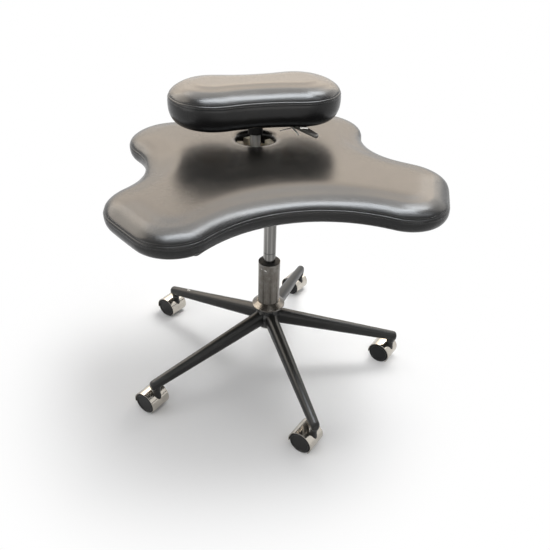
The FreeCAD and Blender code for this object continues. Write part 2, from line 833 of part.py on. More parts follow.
def lever_parts(name, place, socket_r, cavity_r, pin_r, tongue_high, rod_radius, rod_end):
    """Lever, its pin, and the ears and slot that the socket needs; the lever leaves along local +X.

    The placement stands on the lift's axis at the height of the pin.
    """
    half = d.lever_tongue_width / 2
    eye = d.ear_margin
    pin_hole_r = d.lever_pin_d / 2
    across = spin(X_AXIS, -90)
    tongue = block(name + "_tongue", place * shift(-d.lever_tongue_reach, -half, -tongue_high / 2),
                   d.lever_tongue_reach + pin_r + eye, d.lever_tongue_width, tongue_high)
    barrel = drum(name + "_barrel", place * shift(pin_r, -half, 0) * across, eye, d.lever_tongue_width)
    rod = drum(name + "_rod", place * shift(pin_r, 0, 0) * spin(Y_AXIS, 90), rod_radius, rod_end - pin_r)
    pin_hole = drum(name + "_pin_hole", place * shift(pin_r, -half - 1, 0) * across,
                    pin_hole_r + d.running_fit, d.lever_tongue_width + 2)
    lever = cut(name, fused(name + "_whole", [tongue, barrel, rod]), [pin_hole])
    slot_half = half + d.running_gap
    slot_high = d.ear_height
    slot = block(name + "_slot", place * shift(cavity_r / 2, -slot_half, -slot_high / 2),
                 socket_r, slot_half * 2, slot_high)
    ears = []
    ear_holes = []
    for part, low in (("near", -slot_half - d.ear_thickness), ("far", slot_half)):
        inner = (cavity_r + socket_r) / 2
        ears.append(block(f"{name}_{part}_ear", place * shift(inner, low, -d.ear_height / 2),
                          pin_r + eye - inner, d.ear_thickness, d.ear_height))
        ear_holes.append(drum(f"{name}_{part}_ear_hole", place * shift(pin_r, low - 1, 0) * across,
                              pin_hole_r + d.snug_fit, d.ear_thickness + 2))
    pin_length = (slot_half + d.ear_thickness) * 2
    pin = drum(name + "_pin", place * shift(pin_r, -pin_length / 2, 0) * across, pin_hole_r, pin_length)
    return lever, pin, ears, [slot] + ear_holes


def paddle(name, place, root_r, tip_r, length, thickness, rod_radius, rod_turn, rod_depth):
    """Tapered lever grip, its root on the placement and its tip along local +X.

    The rod enters the root from a bearing in the plane of the paddle, given in degrees from local -X.
    """
    body = new_body(name)
    sketch = new_sketch(body, name + "_outline", "XY_Plane")
    draw_capsule(sketch, root_r, tip_r, 0, length, False)
    pad = body.newObject("PartDesign::Pad", name + "_pad")
    pad.Profile = sketch
    pad.SideType = "Symmetric"
    bound(pad, Length=thickness)
    doc.recompute()
    edges = body.newObject("PartDesign::Fillet", name + "_edges")
    edges.Base = (pad, [end_face(pad.Shape, Z_AXIS), end_face(pad.Shape, -Z_AXIS)])
    bound(edges, Radius=d.grip_edge)
    bore = body.newObject("PartDesign::SubtractiveCylinder", name + "_rod_bore")
    bound(bore, Radius=rod_radius + d.snug_fit, Height=root_r + rod_depth)
    bore.Placement = spin(Z_AXIS, rod_turn) * shift(rod_depth, 0, 0) * spin(Y_AXIS, -90)
    body.Placement = place
    keep(body, name)


def hex_bolts(label, spots, under, radius, key, head, length):
    """Hexagon bolts standing head down under a plate, one at each (x, y) spot."""
    bolts = []
    for number, (x, y) in enumerate(spots, start=1):
        name = f"{label}_{number}"
        cap = bound(doc.addObject("Part::Prism", name + "_head"), Circumradius=key / math.sqrt(3), Height=head)
        cap.Polygon = 6
        cap.Placement = shift(x, y, under - head)
        shank = drum(name + "_shank", shift(x, y, under), radius, length)
        bolts.append(fused(name, [cap, shank]))
    keep(grouped(label, bolts), label, len(bolts))


def bolt_holes(name, spots, foot, radius, high):
    """Clearance holes for bolts."""
    return [drum(f"{name}_{k}", shift(x, y, foot), radius, high) for k, (x, y) in enumerate(spots, start=1)]


def rounded_plate(name, place, across, deep, high, corner):
    """Flat plate with rounded upright corners."""
    thing = block(name + "_blank", place, across, deep, high)
    doc.recompute()
    upright = []
    for index, edge in enumerate(thing.Shape.Edges, start=1):
        start, stop = (vertex.Point for vertex in edge.Vertexes)
        if abs((stop - start).z) > float(high) / 2:
            upright.append((index, float(corner), float(corner)))
    smooth = doc.addObject("Part::Fillet", name)
    smooth.Base = thing
    smooth.Edges = upright
    return smooth


bolt_column_x = d.plate_width / 2 - d.bolt_edge
PLATFORM_BOLTS = [(side * bolt_column_x, row) for row in (-d.bolt_row_front, d.bolt_row_mid, d.bolt_row_back)
                  for side in (-1, 1)]


def platform_plate():
    """Steel plate under the platform, with the main lift's socket, the post's ring, ribs, lever and bolts."""
    depth = d.plate_front + d.post_offset + d.plate_back
    low_corner = shift(-d.plate_width / 2, -d.plate_front, plate_under)
    sheet = rounded_plate("plate_sheet", low_corner, d.plate_width, depth, d.plate_thickness, d.plate_corner)
    flanges = []
    for part, x in (("left", -d.plate_width / 2), ("right", d.plate_width / 2 - d.plate_thickness)):
        corner = shift(x, d.plate_corner - d.plate_front, plate_under - d.plate_flange)
        flanges.append(block(f"plate_{part}_flange", corner, d.plate_thickness, depth - d.plate_corner * 2,
                             d.plate_flange + d.plate_thickness / 2))
    socket = lift_socket("plate_socket", d.cylinder_d / 2, d.socket_d / 2, d.cavity_d / 2, cylinder_top,
                         d.taper_length, plate_under)
    gussets = []
    for number in range(4):
        rib = bound(doc.addObject("Part::Wedge", f"plate_gusset_{number + 1}"),
                    Xmin=d.cavity_d / 2 + d.ear_thickness, Xmax=d.socket_d / 2,
                    X2min=d.cavity_d / 2 + d.ear_thickness, X2max=d.socket_d / 2 + d.gusset_length,
                    Ymin=cylinder_top - d.taper_length / 2, Ymax=plate_under + d.plate_thickness / 2,
                    Zmin=-d.gusset_thickness / 2, Zmax=d.gusset_thickness / 2,
                    Z2min=-d.gusset_thickness / 2, Z2max=d.gusset_thickness / 2)
        rib.Placement = spin(Z_AXIS, 90 * number) * spin(X_AXIS, 90)
        gussets.append(rib)
    at_post = shift(0, d.post_offset, platform_foot - d.post_ring_height)
    post_ring = drum("plate_post_ring", at_post, d.post_ring_d / 2, d.post_ring_height)
    post_bore = drum("plate_post_bore", at_post, tube_r + d.snug_fit, d.post_ring_height)
    pin_z = cylinder_top + d.button_proud + d.lever_gap + d.lever_tongue_height / 2
    at_lever = shift(0, 0, pin_z) * spin(Z_AXIS, d.lever_bearing)
    lever, pin, ears, cuts = lever_parts("platform_lever", at_lever, d.socket_d / 2, d.cavity_d / 2, d.lever_pin_r,
                                         d.lever_tongue_height, d.lever_rod_d / 2, d.lever_rod_end)
    whole = fused("plate_whole", [sheet, socket, post_ring] + flanges + gussets + ears)
    holes = bolt_holes("plate_hole", PLATFORM_BOLTS, plate_under, d.bolt_d / 2 + d.running_fit, d.plate_thickness)
    keep(cut("platform_plate", whole, cuts + holes + [post_bore]), "platform_plate")
    keep(lever, "platform_lever")
    keep(pin, "platform_lever_pin")
    paddle("platform_lever_grip", at_lever * shift(d.grip_start, 0, 0), d.grip_root_r, d.grip_tip_r, d.grip_length,
           d.grip_thickness, d.lever_rod_d / 2, 0, d.lever_rod_end - d.grip_start + d.running_gap)
    hex_bolts("platform_bolts", PLATFORM_BOLTS, plate_under, d.bolt_d / 2, d.bolt_key, d.bolt_head, d.bolt_length)


# Platform and upper seat

PLATFORM_HALF = [
    (d.front_lobe_x, -d.front_lobe_y, d.front_lobe_r),
    (d.side_lobe_x, -d.side_lobe_y, d.side_lobe_r),
    (d.back_lobe_x, d.back_lobe_y, d.back_lobe_r),
]
PLATFORM_DISCS = PLATFORM_HALF + [(-x, y, radius) for x, y, radius in reversed(PLATFORM_HALF)]
PLATFORM_NOTCHES = [None, d.side_notch_r, d.back_notch_r, d.side_notch_r, None, d.front_notch_r]


def platform():
    """Lobed cushion on its board, with the hole for the post and the grommet in it."""
    hole_at = FreeCAD.Vector(0, d.post_offset, platform_foot)
    pad = cushion(PLATFORM_DISCS, PLATFORM_NOTCHES, platform_foot, platform_top,
                  (d.platform_low_roll, d.platform_low_rise), (d.platform_high_roll, d.platform_high_rise),
                  (d.platform_crown_inset, d.platform_crown))
    pad = pad.cut(Part.makeCylinder(d.hole_d / 2, d.platform_thickness * 2, hole_at))
    crown_z = platform_top + d.platform_crown
    lip = [edge for edge in pad.Edges
           if isinstance(edge.Curve, Part.Circle) and abs(edge.Curve.Radius - d.hole_d / 2) < 0.01
           and abs(edge.CenterOfMass.z - crown_z) < 0.01]
    pad = pad.makeFillet(d.hole_lip, lip)
    recess = slab(PLATFORM_DISCS, PLATFORM_NOTCHES, d.board_inset - d.foam_gap, platform_foot,
                  d.board_thickness + d.foam_gap)
    piece_from(pad.cut(recess), "platform_cushion")

    board = slab(PLATFORM_DISCS, PLATFORM_NOTCHES, d.board_inset, platform_foot, d.board_thickness)
    tube_hole = Part.makeCylinder(tube_r + d.running_gap, d.board_thickness, hole_at)
    drill = [Part.makeCylinder(d.bolt_d / 2 + d.running_fit, d.bolt_length - d.plate_thickness + d.running_gap,
                               FreeCAD.Vector(x, y, platform_foot)) for x, y in PLATFORM_BOLTS]
    piece_from(board.cut([tube_hole] + drill), "platform_board")

    foot = shift(0, d.post_offset, board_top)
    outer = d.hole_d / 2 - d.foam_gap
    inner = outer - d.grommet_wall
    band = ring("grommet_band", foot, outer, inner, d.grommet_height)
    tab_inner = inner - d.grommet_tab_reach
    edge = d.grommet_tab_edge
    profile = [
        (tab_inner, 0),
        (outer, 0),
        (outer, d.grommet_tab_height - edge),
        (outer - edge, d.grommet_tab_height),
        (tab_inner + edge, d.grommet_tab_height),
        (tab_inner, d.grommet_tab_height - edge),
    ]
    tabs = []
    for number in range(GROMMET_TABS):
        tab = turned(f"grommet_tab_{number + 1}", profile, d.grommet_tab_arc)
        tab.Placement = foot * spin(Z_AXIS, 360 / GROMMET_TABS * number - d.grommet_tab_arc / 2)
        tabs.append(tab)
    keep(fused("platform_grommet", [band] + tabs), "platform_grommet")


SEAT_DISCS = [(d.seat_end_x, 0, d.seat_end_r), (-d.seat_end_x, 0, d.seat_end_r)]
SEAT_NOTCHES = [d.seat_back_notch_r, d.seat_front_notch_r]
SEAT_BOLTS = [(x * d.seat_bolt_x, d.post_offset + y * d.seat_bolt_y) for x in (-1, 1) for y in (-1, 1)]


def seat():
    """Upper seat: waisted cushion, board, plate with the post's socket, lever and bolts."""
    discs = [(x, d.post_offset + y, radius) for x, y, radius in SEAT_DISCS]
    pad = cushion(discs, SEAT_NOTCHES, seat_foot, seat_foot + d.seat_thickness,
                  (d.seat_low_roll, d.seat_low_rise), (d.seat_high_roll, d.seat_high_rise),
                  (d.seat_crown_inset, d.seat_crown))
    recess = slab(discs, SEAT_NOTCHES, d.seat_board_inset - d.foam_gap, seat_foot,
                  d.seat_board_thickness + d.foam_gap)
    piece_from(pad.cut(recess), "seat_cushion")
    board = slab(discs, SEAT_NOTCHES, d.seat_board_inset, seat_foot, d.seat_board_thickness)
    drill = [Part.makeCylinder(d.seat_bolt_d / 2 + d.running_fit,
                               d.seat_bolt_length - d.seat_plate_thickness + d.running_gap,
                               FreeCAD.Vector(x, y, seat_foot)) for x, y in SEAT_BOLTS]
    piece_from(board.cut(drill), "seat_board")

    low_corner = shift(-d.seat_plate_width / 2, d.post_offset - d.seat_plate_depth / 2, seat_plate_under)
    sheet = rounded_plate("seat_sheet", low_corner, d.seat_plate_width, d.seat_plate_depth, d.seat_plate_thickness,
                          d.seat_plate_corner)
    socket = lift_socket("seat_socket", d.post_cylinder_d / 2, d.seat_socket_d / 2, d.seat_cavity_d / 2, post_top,
                         d.post_taper_length, seat_plate_under)
    socket.Placement = shift(0, d.post_offset, 0)
    pin_z = post_top + d.button_proud + d.lever_gap + d.seat_lever_tongue_height / 2
    at_lever = shift(0, d.post_offset, pin_z)
    lever, pin, ears, cuts = lever_parts("seat_lever", at_lever, d.seat_socket_d / 2, d.seat_cavity_d / 2,
                                         d.seat_lever_pin_r, d.seat_lever_tongue_height, d.seat_lever_rod_d / 2,
                                         d.seat_lever_rod_end)
    holes = bolt_holes("seat_hole", SEAT_BOLTS, seat_plate_under, d.seat_bolt_d / 2 + d.running_fit,
                       d.seat_plate_thickness)
    whole = fused("seat_plate_whole", [sheet, socket] + ears)
    keep(cut("seat_plate", whole, cuts + holes), "seat_plate")
    keep(lever, "seat_lever")
    keep(pin, "seat_lever_pin")
    at_grip = at_lever * shift(d.seat_lever_rod_end, 0, 0) * spin(X_AXIS, d.seat_grip_dip)
    paddle("seat_lever_grip", at_grip * spin(Z_AXIS, d.seat_grip_turn), d.seat_grip_root_r, d.seat_grip_tip_r,
           d.seat_grip_length, d.seat_grip_thickness, d.seat_lever_rod_d / 2, -d.seat_grip_turn, d.running_gap)
    hex_bolts("seat_bolts", SEAT_BOLTS, seat_plate_under, d.seat_bolt_d / 2, d.seat_bolt_key, d.seat_bolt_head,
              d.seat_bolt_length)


def write_parts():
    """Check every object of the document, then write each finished piece to its own file."""
    doc.recompute()
    for thing in doc.Objects:
        solid = getattr(thing, "Shape", None)
        broken = solid is not None and solid.Solids and not solid.isValid()
        if broken or "Invalid" in thing.State or "Error" in thing.State:
            raise RuntimeError(f"{thing.Label} failed to build")
    for thing, label, solids in nodes:
        shape = thing.Shape
        if shape.isNull() or not shape.isValid() or len(shape.Solids) != solids:
            raise RuntimeError(f"{label} is not {solids} valid solid(s)")
    os.makedirs("parts", exist_ok=True)
    for thing, label, _ in nodes:
        thing.Shape.exportStep(f"parts/{label}.step")
    print(len(nodes), "pieces written")


base()
column()
platform_plate()
post()
platform()
seat()
write_parts()
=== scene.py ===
"""Cross-legged office chair: padded leather platform and upper seat on gas lifts, over a castor base.

Lengths are in metres, with Z up, the floor at Z = 0, the main lift on the Z axis and the front towards -Y.
"""
import logging
import math
from abc import ABC, abstractmethod
from dataclasses import dataclass, field
from enum import Enum
from functools import cached_property
from typing import Callable, Optional, Sequence, Union

import bmesh
import bpy
import numpy as np
from mathutils import Matrix, Vector
from mathutils.bvhtree import BVHTree


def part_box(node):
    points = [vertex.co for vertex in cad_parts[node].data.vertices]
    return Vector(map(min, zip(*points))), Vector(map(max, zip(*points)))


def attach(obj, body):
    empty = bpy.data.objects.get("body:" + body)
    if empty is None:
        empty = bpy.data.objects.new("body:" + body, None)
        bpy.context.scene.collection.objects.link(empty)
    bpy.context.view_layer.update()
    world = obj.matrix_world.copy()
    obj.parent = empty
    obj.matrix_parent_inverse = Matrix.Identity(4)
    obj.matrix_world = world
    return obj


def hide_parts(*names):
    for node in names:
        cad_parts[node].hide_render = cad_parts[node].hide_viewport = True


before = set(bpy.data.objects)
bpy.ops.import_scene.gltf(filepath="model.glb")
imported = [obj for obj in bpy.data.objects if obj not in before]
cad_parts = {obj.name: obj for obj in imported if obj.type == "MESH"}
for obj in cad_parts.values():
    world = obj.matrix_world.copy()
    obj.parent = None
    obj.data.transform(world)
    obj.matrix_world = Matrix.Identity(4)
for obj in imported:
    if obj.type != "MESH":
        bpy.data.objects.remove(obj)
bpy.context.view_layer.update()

logging.basicConfig(level=logging.INFO, format="%(message)s")
log = logging.getLogger("chair")

Colour = tuple[float, float, float]
Point = tuple[float, float, float]
Ring = np.ndarray
Faces = list[tuple[int, ...]]

UP = Vector((0.0, 0.0, 1.0))
POST_Y = 0.150  # axis of the upper lift
PLATFORM_SEAM_Z = 0.5025
SEAT_SEAM_Z = 0.6295
ABOVE_ALL_Z = 2.0  # over the whole chair, for leather that has no seam
SEAM_GAP = 0.0072  # from the seam down to the second line of its welt
FINE_STEP = 0.001  # between the points of an outline
WHITE = (1.0, 1.0, 1.0)
SEEING_RAYS = ("Camera", "Glossy", "Transmission")


def _operator(operation: str, reflected: bool = False) -> Callable[["Value", "Number"], "Value"]:
    """Make an operator of Value that adds one Math node.

    Args:
        operation: Blender's name of the sum.
        reflected: Whether the other value stands on the left.

    Returns:
        The operator.
    """
    def operator(self: "Value", other: "Number" = 0.0) -> "Value":
        """Add the Math node."""
        first, second = (other, self) if reflected else (self, other)
        return self.graph.node("ShaderNodeMath", {"operation": operation}, {0: first, 1: second})
    return operator


class Value:
    """A shader value that takes part in Python sums; each sum adds a Math node."""

    def __init__(self, graph: "Graph", socket: bpy.types.NodeSocket) -> None:
        """Hold a node's output socket and the graph that it is in."""
        self.graph = graph
        self.socket = socket

    __add__, __radd__ = _operator("ADD"), _operator("ADD", reflected=True)
    __sub__, __rsub__ = _operator("SUBTRACT"), _operator("SUBTRACT", reflected=True)
    __mul__, __rmul__ = _operator("MULTIPLY"), _operator("MULTIPLY", reflected=True)
    __truediv__ = _operator("DIVIDE")
    __abs__ = _operator("ABSOLUTE")
    larger = _operator("MAXIMUM")

    def rise(self, low: float, high: float) -> "Value":
        """Smooth step from 0 at low to 1 at high; a high below low gives a fall.

        Args:
            low: Input at which the result is 0.
            high: Input at which the result is 1.

        Returns:
            The smoothed value, from 0 to 1.
        """
        settings = {"interpolation_type": "SMOOTHSTEP"}
        if low < high:
            return self.graph.node("ShaderNodeMapRange", settings, {0: self, 1: low, 2: high})
        return self.graph.node("ShaderNodeMapRange", settings, {0: self, 1: high, 2: low, 3: 1.0, 4: 0.0})


Number = Union[Value, float, int]


class Graph:
    """The node tree of a material or the world, with short ways to add what the finishes use."""

    def __init__(self, owner: Union[bpy.types.Material, bpy.types.World]) -> None:
        """Switch on the nodes of a material or the world."""
        owner.use_nodes = True
        self.tree = owner.node_tree

    @cached_property
    def place(self) -> Value:
        """The object's own coordinate."""
        return self.node("ShaderNodeTexCoord", {}, {}, "Object")

    def node(self, kind: str, settings: dict[str, object], inputs: dict[Union[int, str], object],
             output: Union[int, str] = 0) -> Value:
        """Add any node.

        Args:
            kind: Blender's name of the node's type.
            settings: Properties, which are set before the sockets.
            inputs: Socket index or name to a value, number, colour or vector.
            output: Socket of the result.

        Returns:
            The node's result.
        """
        made = self.tree.nodes.new(kind)
        for key, setting in settings.items():
            setattr(made, key, setting)
        for key, value in inputs.items():
            self.feed(made.inputs[key], value)
        return Value(self, made.outputs[output])

    def feed(self, socket: bpy.types.NodeSocket, value: object) -> None:
        """Set a socket to a number, colour or vector, or link it to a value.

        Args:
            socket: Input of a node.
            value: What it gets.
        """
        if isinstance(value, Value):
            self.tree.links.new(value.socket, socket)
        elif socket.type == "RGBA" and len(value) == 3:
            socket.default_value = (*value, 1.0)
        else:
            socket.default_value = value

    def set(self, **sockets: object) -> None:
        """Feed sockets of the principled surface, named with underscores for spaces."""
        for name, value in sockets.items():
            self.feed(self.tree.nodes["Principled BSDF"].inputs[name.replace("_", " ")], value)

    def noise(self, scale: float, detail: float = 3.0, rough: float = 0.5, warp: float = 0.0,
              at: Optional[Value] = None) -> Value:
        """Cloudy noise around one half.

        Args:
            scale: Cells per metre.
            detail: Octaves.
            rough: Weight of the finer octaves.
            warp: Distortion.
            at: Coordinate, the object's own where it isn't given.

        Returns:
            The noise value.
        """
        return self.node("ShaderNodeTexNoise", {}, {"Vector": at or self.place, "Scale": scale, "Detail": detail,
                                                    "Roughness": rough, "Distortion": warp})

    def cells(self, scale: float, feature: str) -> Value:
        """Distance in a pattern of cells.

        Args:
            scale: Cells per metre.
            feature: Which distance is measured.

        Returns:
            The distance.
        """
        return self.node("ShaderNodeTexVoronoi", {"feature": feature}, {"Vector": self.place, "Scale": scale},
                         "Distance")

    def stretch(self, x: float, y: float, z: float) -> Value:
        """The object coordinate scaled along each axis."""
        return self.node("ShaderNodeVectorMath", {"operation": "MULTIPLY"}, {0: self.place, 1: (x, y, z)})

    def axis(self, letter: str) -> Value:
        """One coordinate of the object's place."""
        return self.node("ShaderNodeSeparateXYZ", {}, {0: self.place}, letter)

    def away(self, point: Point) -> Value:
        """Distance from a point in the row frame."""
        return self.node("ShaderNodeVectorMath", {"operation": "DISTANCE"}, {0: self.place, 1: point}, "Value")

    def mixed(self, share: Number, first: object, second: object) -> Value:
        """Colour between two colours.

        Args:
            share: 0 for the first, 1 for the second.
            first: Colour or value.
            second: Colour or value.

        Returns:
            The mixed colour.
        """
        return self.node("ShaderNodeMix", {"data_type": "RGBA"}, {0: share, 6: first, 7: second}, 2)

    def edges(self, low: float, high: float) -> Value:
        """Mask of convex edges, for wear."""
        return self.node("ShaderNodeNewGeometry", {}, {}, "Pointiness").rise(low, high)

    def bump(self, height: Value, strength: float, depth: float, under: Optional[Value] = None) -> Value:
        """Surface normal bent by a height.

        Args:
            height: Height from 0 to 1.
            strength: Share of the effect.
            depth: Height of a full step, in metres.
            under: Normal to start from.

        Returns:
            The bent normal.
        """
        inputs = {"Height": height, "Strength": strength, "Distance": depth}
        if under is not None:
            inputs["Normal"] = under
        return self.node("ShaderNodeBump", {}, inputs, "Normal")

    def seen(self) -> Value:
        """1 for rays that look at a surface or mirror it, 0 for those that light the chair."""
        camera, glossy, through = (self.node("ShaderNodeLightPath", {}, {}, f"Is {ray} Ray") for ray in SEEING_RAYS)
        return camera.larger(glossy).larger(through)

    def whiten(self, share: Value, plain: str, white: str, output: str) -> None:
        """Mix plain white into a shader.

        Args:
            share: How much of the white shows.
            plain: Name of the shader node that shows elsewhere.
            white: Type of the node that gives the white.
            output: Name of the tree's output node.
        """
        shader = Value(self, self.tree.nodes[plain].outputs[0])
        glow = self.node(white, {}, {"Color": WHITE, "Strength": 1.0})
        mix = self.node("ShaderNodeMixShader", {}, {0: share, 1: shader, 2: glow})
        self.feed(self.tree.nodes[output].inputs["Surface"], mix)


def toned(colour: Colour, gain: float, lift: float = 0.0) -> Colour:
    """A lighter or darker tone of a colour."""
    return tuple(min(1.0, channel * gain + lift) for channel in colour)


class Finish(ABC):
    """A surface finish that makes its material once."""

    name: str
    made: dict["Finish", bpy.types.Material] = {}

    def material(self) -> bpy.types.Material:
        """The finish's material, made at the first call.

        Returns:
            The material.
        """
        if self not in Finish.made:
            Finish.made[self] = bpy.data.materials.new(self.name)
            self.paint(Graph(Finish.made[self]))
        return Finish.made[self]

    @abstractmethod
    def paint(self, graph: Graph) -> None:
        """Fill in the material's nodes.

        Args:
            graph: Node tree to add to.
        """


@dataclass(frozen=True)
class Leather(Finish):
    """Black semi-gloss hide with a fine pebble, polished where it is sat on, and a pressed seam."""

    name: str
    seam_z: float
    sat_at: Point
    sat_r: float
    upper_half: float = 0.0012
    lower_half: float = 0.0011
    pucker_reach: float = 0.012
    hide: Colour = (0.009, 0.0089, 0.0092)
    worn: Colour = (0.021, 0.0195, 0.017)
    pressed: Colour = (0.006, 0.006, 0.006)
    grain: float = 700.0

    def paint(self, graph: Graph) -> None:
        """Fill in the material's nodes.

        Args:
            graph: Node tree to add to.
        """
        sat = graph.away(self.sat_at).rise(self.sat_r, self.sat_r * 0.25)
        cloud = graph.noise(7.0, detail=4.0, rough=0.55)
        patch = graph.noise(28.0, detail=3.0, rough=0.6, warp=0.4)
        tone = (sat * 0.35 + cloud * 0.5 + patch * 0.25 - 0.28).rise(0.0, 0.75)
        pebble = graph.cells(self.grain, "DISTANCE_TO_EDGE").rise(0.0, 0.22)
        fine = graph.noise(2400.0, detail=2.0)
        crease = graph.noise(46.0, detail=4.0, rough=0.6, warp=1.2)
        depth = graph.axis("Z")
        upper = abs(depth - self.seam_z).rise(0.0, self.upper_half)
        lower = abs(depth - (self.seam_z - SEAM_GAP)).rise(0.0, self.lower_half)
        pucker = abs(depth - (self.seam_z - SEAM_GAP * 0.5)).rise(self.pucker_reach, 0.0)
        tucks = graph.noise(1.0, detail=2.0, at=graph.stretch(120.0, 120.0, 30.0))
        groove = upper * (lower * 0.6 + 0.4)
        skin = graph.mixed(tone, self.hide, self.worn)
        graph.set(Base_Color=graph.mixed((1.0 - groove) * 0.7, skin, self.pressed),
                  Roughness=0.15 + cloud * 0.10 + patch * 0.05 - sat * 0.03 + (1.0 - pebble) * 0.04,
                  IOR=1.37)
        relief = graph.bump(pebble * 0.75 + fine * 0.25, strength=0.16, depth=0.00018)
        relief = graph.bump(crease, strength=0.03, depth=0.0022, under=relief)
        relief = graph.bump(tucks * pucker, strength=0.14, depth=0.0016, under=relief)
        graph.set(Normal=graph.bump(groove, strength=0.55, depth=0.0010, under=relief))


@dataclass(frozen=True)
class Coat(Finish):
    """Satin powder coat or metal paint with orange peel, dust in patches, rubbed edges and a few chips."""

    name: str
    colour: Colour
    rough: float
    metal: float = 0.0
    bare: Colour = (0.30, 0.30, 0.29)
    dusty: Colour = (0.26, 0.25, 0.23)
    peel: float = 900.0
    # Strength of the painted pale streaks, which stand in for reflections.
    painted_streak: float = 0.0
    mottle: float = 0.35
    chips: tuple[tuple[float, float, float, float], ...] = ()
    chip_colour: Colour = (0.80, 0.79, 0.76)
    bare_below: float = 0.0
    ior: float = 1.42

    def paint(self, graph: Graph) -> None:
        """Fill in the material's nodes.

        Args:
            graph: Node tree to add to.
        """
        cloud = graph.noise(11.0, detail=4.0, rough=0.6)
        upright = graph.stretch(160.0, 160.0, 28.0)
        scuff = graph.noise(1.0, detail=3.0, rough=0.65, warp=0.6, at=upright).rise(0.62, 0.80)
        dust = graph.noise(60.0, detail=5.0, rough=0.7).rise(0.50, 0.85)
        rubbed = graph.edges(0.53, 0.60) * graph.noise(90.0, detail=3.0).rise(0.42, 0.66)
        # Painted reflection: pale vertical streaks lighten the coat, as a round tube mirrors bright streaks.
        drawn = graph.noise(1.0, detail=2.0, rough=0.55, at=graph.stretch(190.0, 190.0, 1.5)).rise(0.40, 0.66)
        tone = cloud.rise(0.3, 0.8) * self.mottle + drawn * self.painted_streak
        base = graph.mixed(tone, self.colour, toned(self.colour, 1.9, 0.008))
        base = graph.mixed(dust * 0.05, base, self.dusty)
        base = graph.mixed(rubbed * 0.35, base, self.bare)
        rough = self.rough + cloud * 0.06 - 0.03 + dust * 0.05 + scuff * 0.06
        metal: Number = self.metal
        if self.chips:
            chip = self.chipped(graph)
            base = graph.mixed(chip, base, self.chip_colour)
            rough = rough + chip * 0.2
            metal = self.metal * (1.0 - chip) if self.metal else 0.0
        if self.bare_below:
            end = graph.axis("Z").rise(self.bare_below + 0.0004, self.bare_below - 0.0004)
            base = graph.mixed(end, base, self.chip_colour)
            metal = end.larger(metal)
        graph.set(Base_Color=base, Roughness=rough, Metallic=metal, IOR=self.ior)
        peel = graph.noise(self.peel, detail=2.0)
        relief = graph.bump(scuff, strength=0.10, depth=0.0003)
        graph.set(Normal=graph.bump(peel, strength=0.16, depth=0.00025, under=relief))

    def chipped(self, graph: Graph) -> Value:
        """Mask of the places where the coat is knocked off.

        Args:
            graph: Node tree to add to.

        Returns:
            1 in a chip and 0 elsewhere.
        """
        ragged = graph.noise(420.0, detail=3.0) - 0.5
        mask: Optional[Value] = None
        for x, y, z, radius in self.chips:
            spot = (graph.away((x, y, z)) / radius + ragged * 0.9).rise(1.05, 0.85)
            mask = spot if mask is None else mask.larger(spot)
        return mask


@dataclass(frozen=True)
class Plated(Finish):
    """Polished plating with fine lines from drawing, finger marks and a little grime; where asked, painted dark
    reflection bands and a painted darker side.
    """

    name: str
    colour: Colour
    rough: float
    grime: float = 0.25
    # Strength of the painted dark bands, which stand in for reflections.
    painted_streak: float = 0.0
    lines: Point = (40.0, 40.0, 2600.0)
    ring_z: float = 0.0
    ring_half: tuple[float, float] = (0.0011, 0.0005)
    ring_colour: Colour = (0.04, 0.04, 0.04)
    grime_colour: Colour = (0.16, 0.14, 0.115)
    # Direction and reach of a painted dark side, which stands in for a dark reflection.
    painted_dark_side: Optional[Point] = None
    painted_dark_from: tuple[float, float] = (0.004, 0.0105)

    def paint(self, graph: Graph) -> None:
        """Fill in the material's nodes.

        Args:
            graph: Node tree to add to.
        """
        drawn = graph.noise(1.0, detail=2.0, rough=0.6, at=graph.stretch(*self.lines))
        # Painted reflection: dark vertical bands in the colour, as if the plating mirrored dark things round it.
        bands = graph.noise(1.0, detail=2.0, rough=0.5, at=graph.stretch(136.0, 136.0, 1.2)).rise(0.42, 0.60)
        smear = graph.noise(34.0, detail=4.0, rough=0.62, warp=0.8).rise(0.42, 0.74)
        spots = graph.noise(210.0, detail=4.0, rough=0.7).rise(0.60, 0.78)
        dirt = (smear * 0.5 + spots * 0.5) * self.grime
        shade = toned(self.colour, 0.30)
        metal = graph.mixed((1.0 - bands) * self.painted_streak, self.colour, shade)
        # Painted reflection: the plating is darkened towards the shade tone on one side, along a fixed direction, as
        # if it mirrored something dark there.
        if self.painted_dark_side is not None:
            across = graph.node("ShaderNodeVectorMath", {"operation": "DOT_PRODUCT"},
                                {0: graph.place, 1: self.painted_dark_side}, "Value")
            metal = graph.mixed(across.rise(*self.painted_dark_from) * 0.75, metal, shade)
        if self.ring_z:
            ring = abs(graph.axis("Z") - self.ring_z).rise(*self.ring_half)
            metal = graph.mixed(ring * 0.85, metal, self.ring_colour)
        graph.set(Base_Color=graph.mixed(dirt, metal, self.grime_colour), Metallic=1.0 - dirt * 0.35,
                  Roughness=self.rough + drawn * 0.05 + smear * 0.07 + spots * self.grime * 0.3)
        graph.set(Normal=graph.bump(drawn, strength=0.05, depth=0.0001))


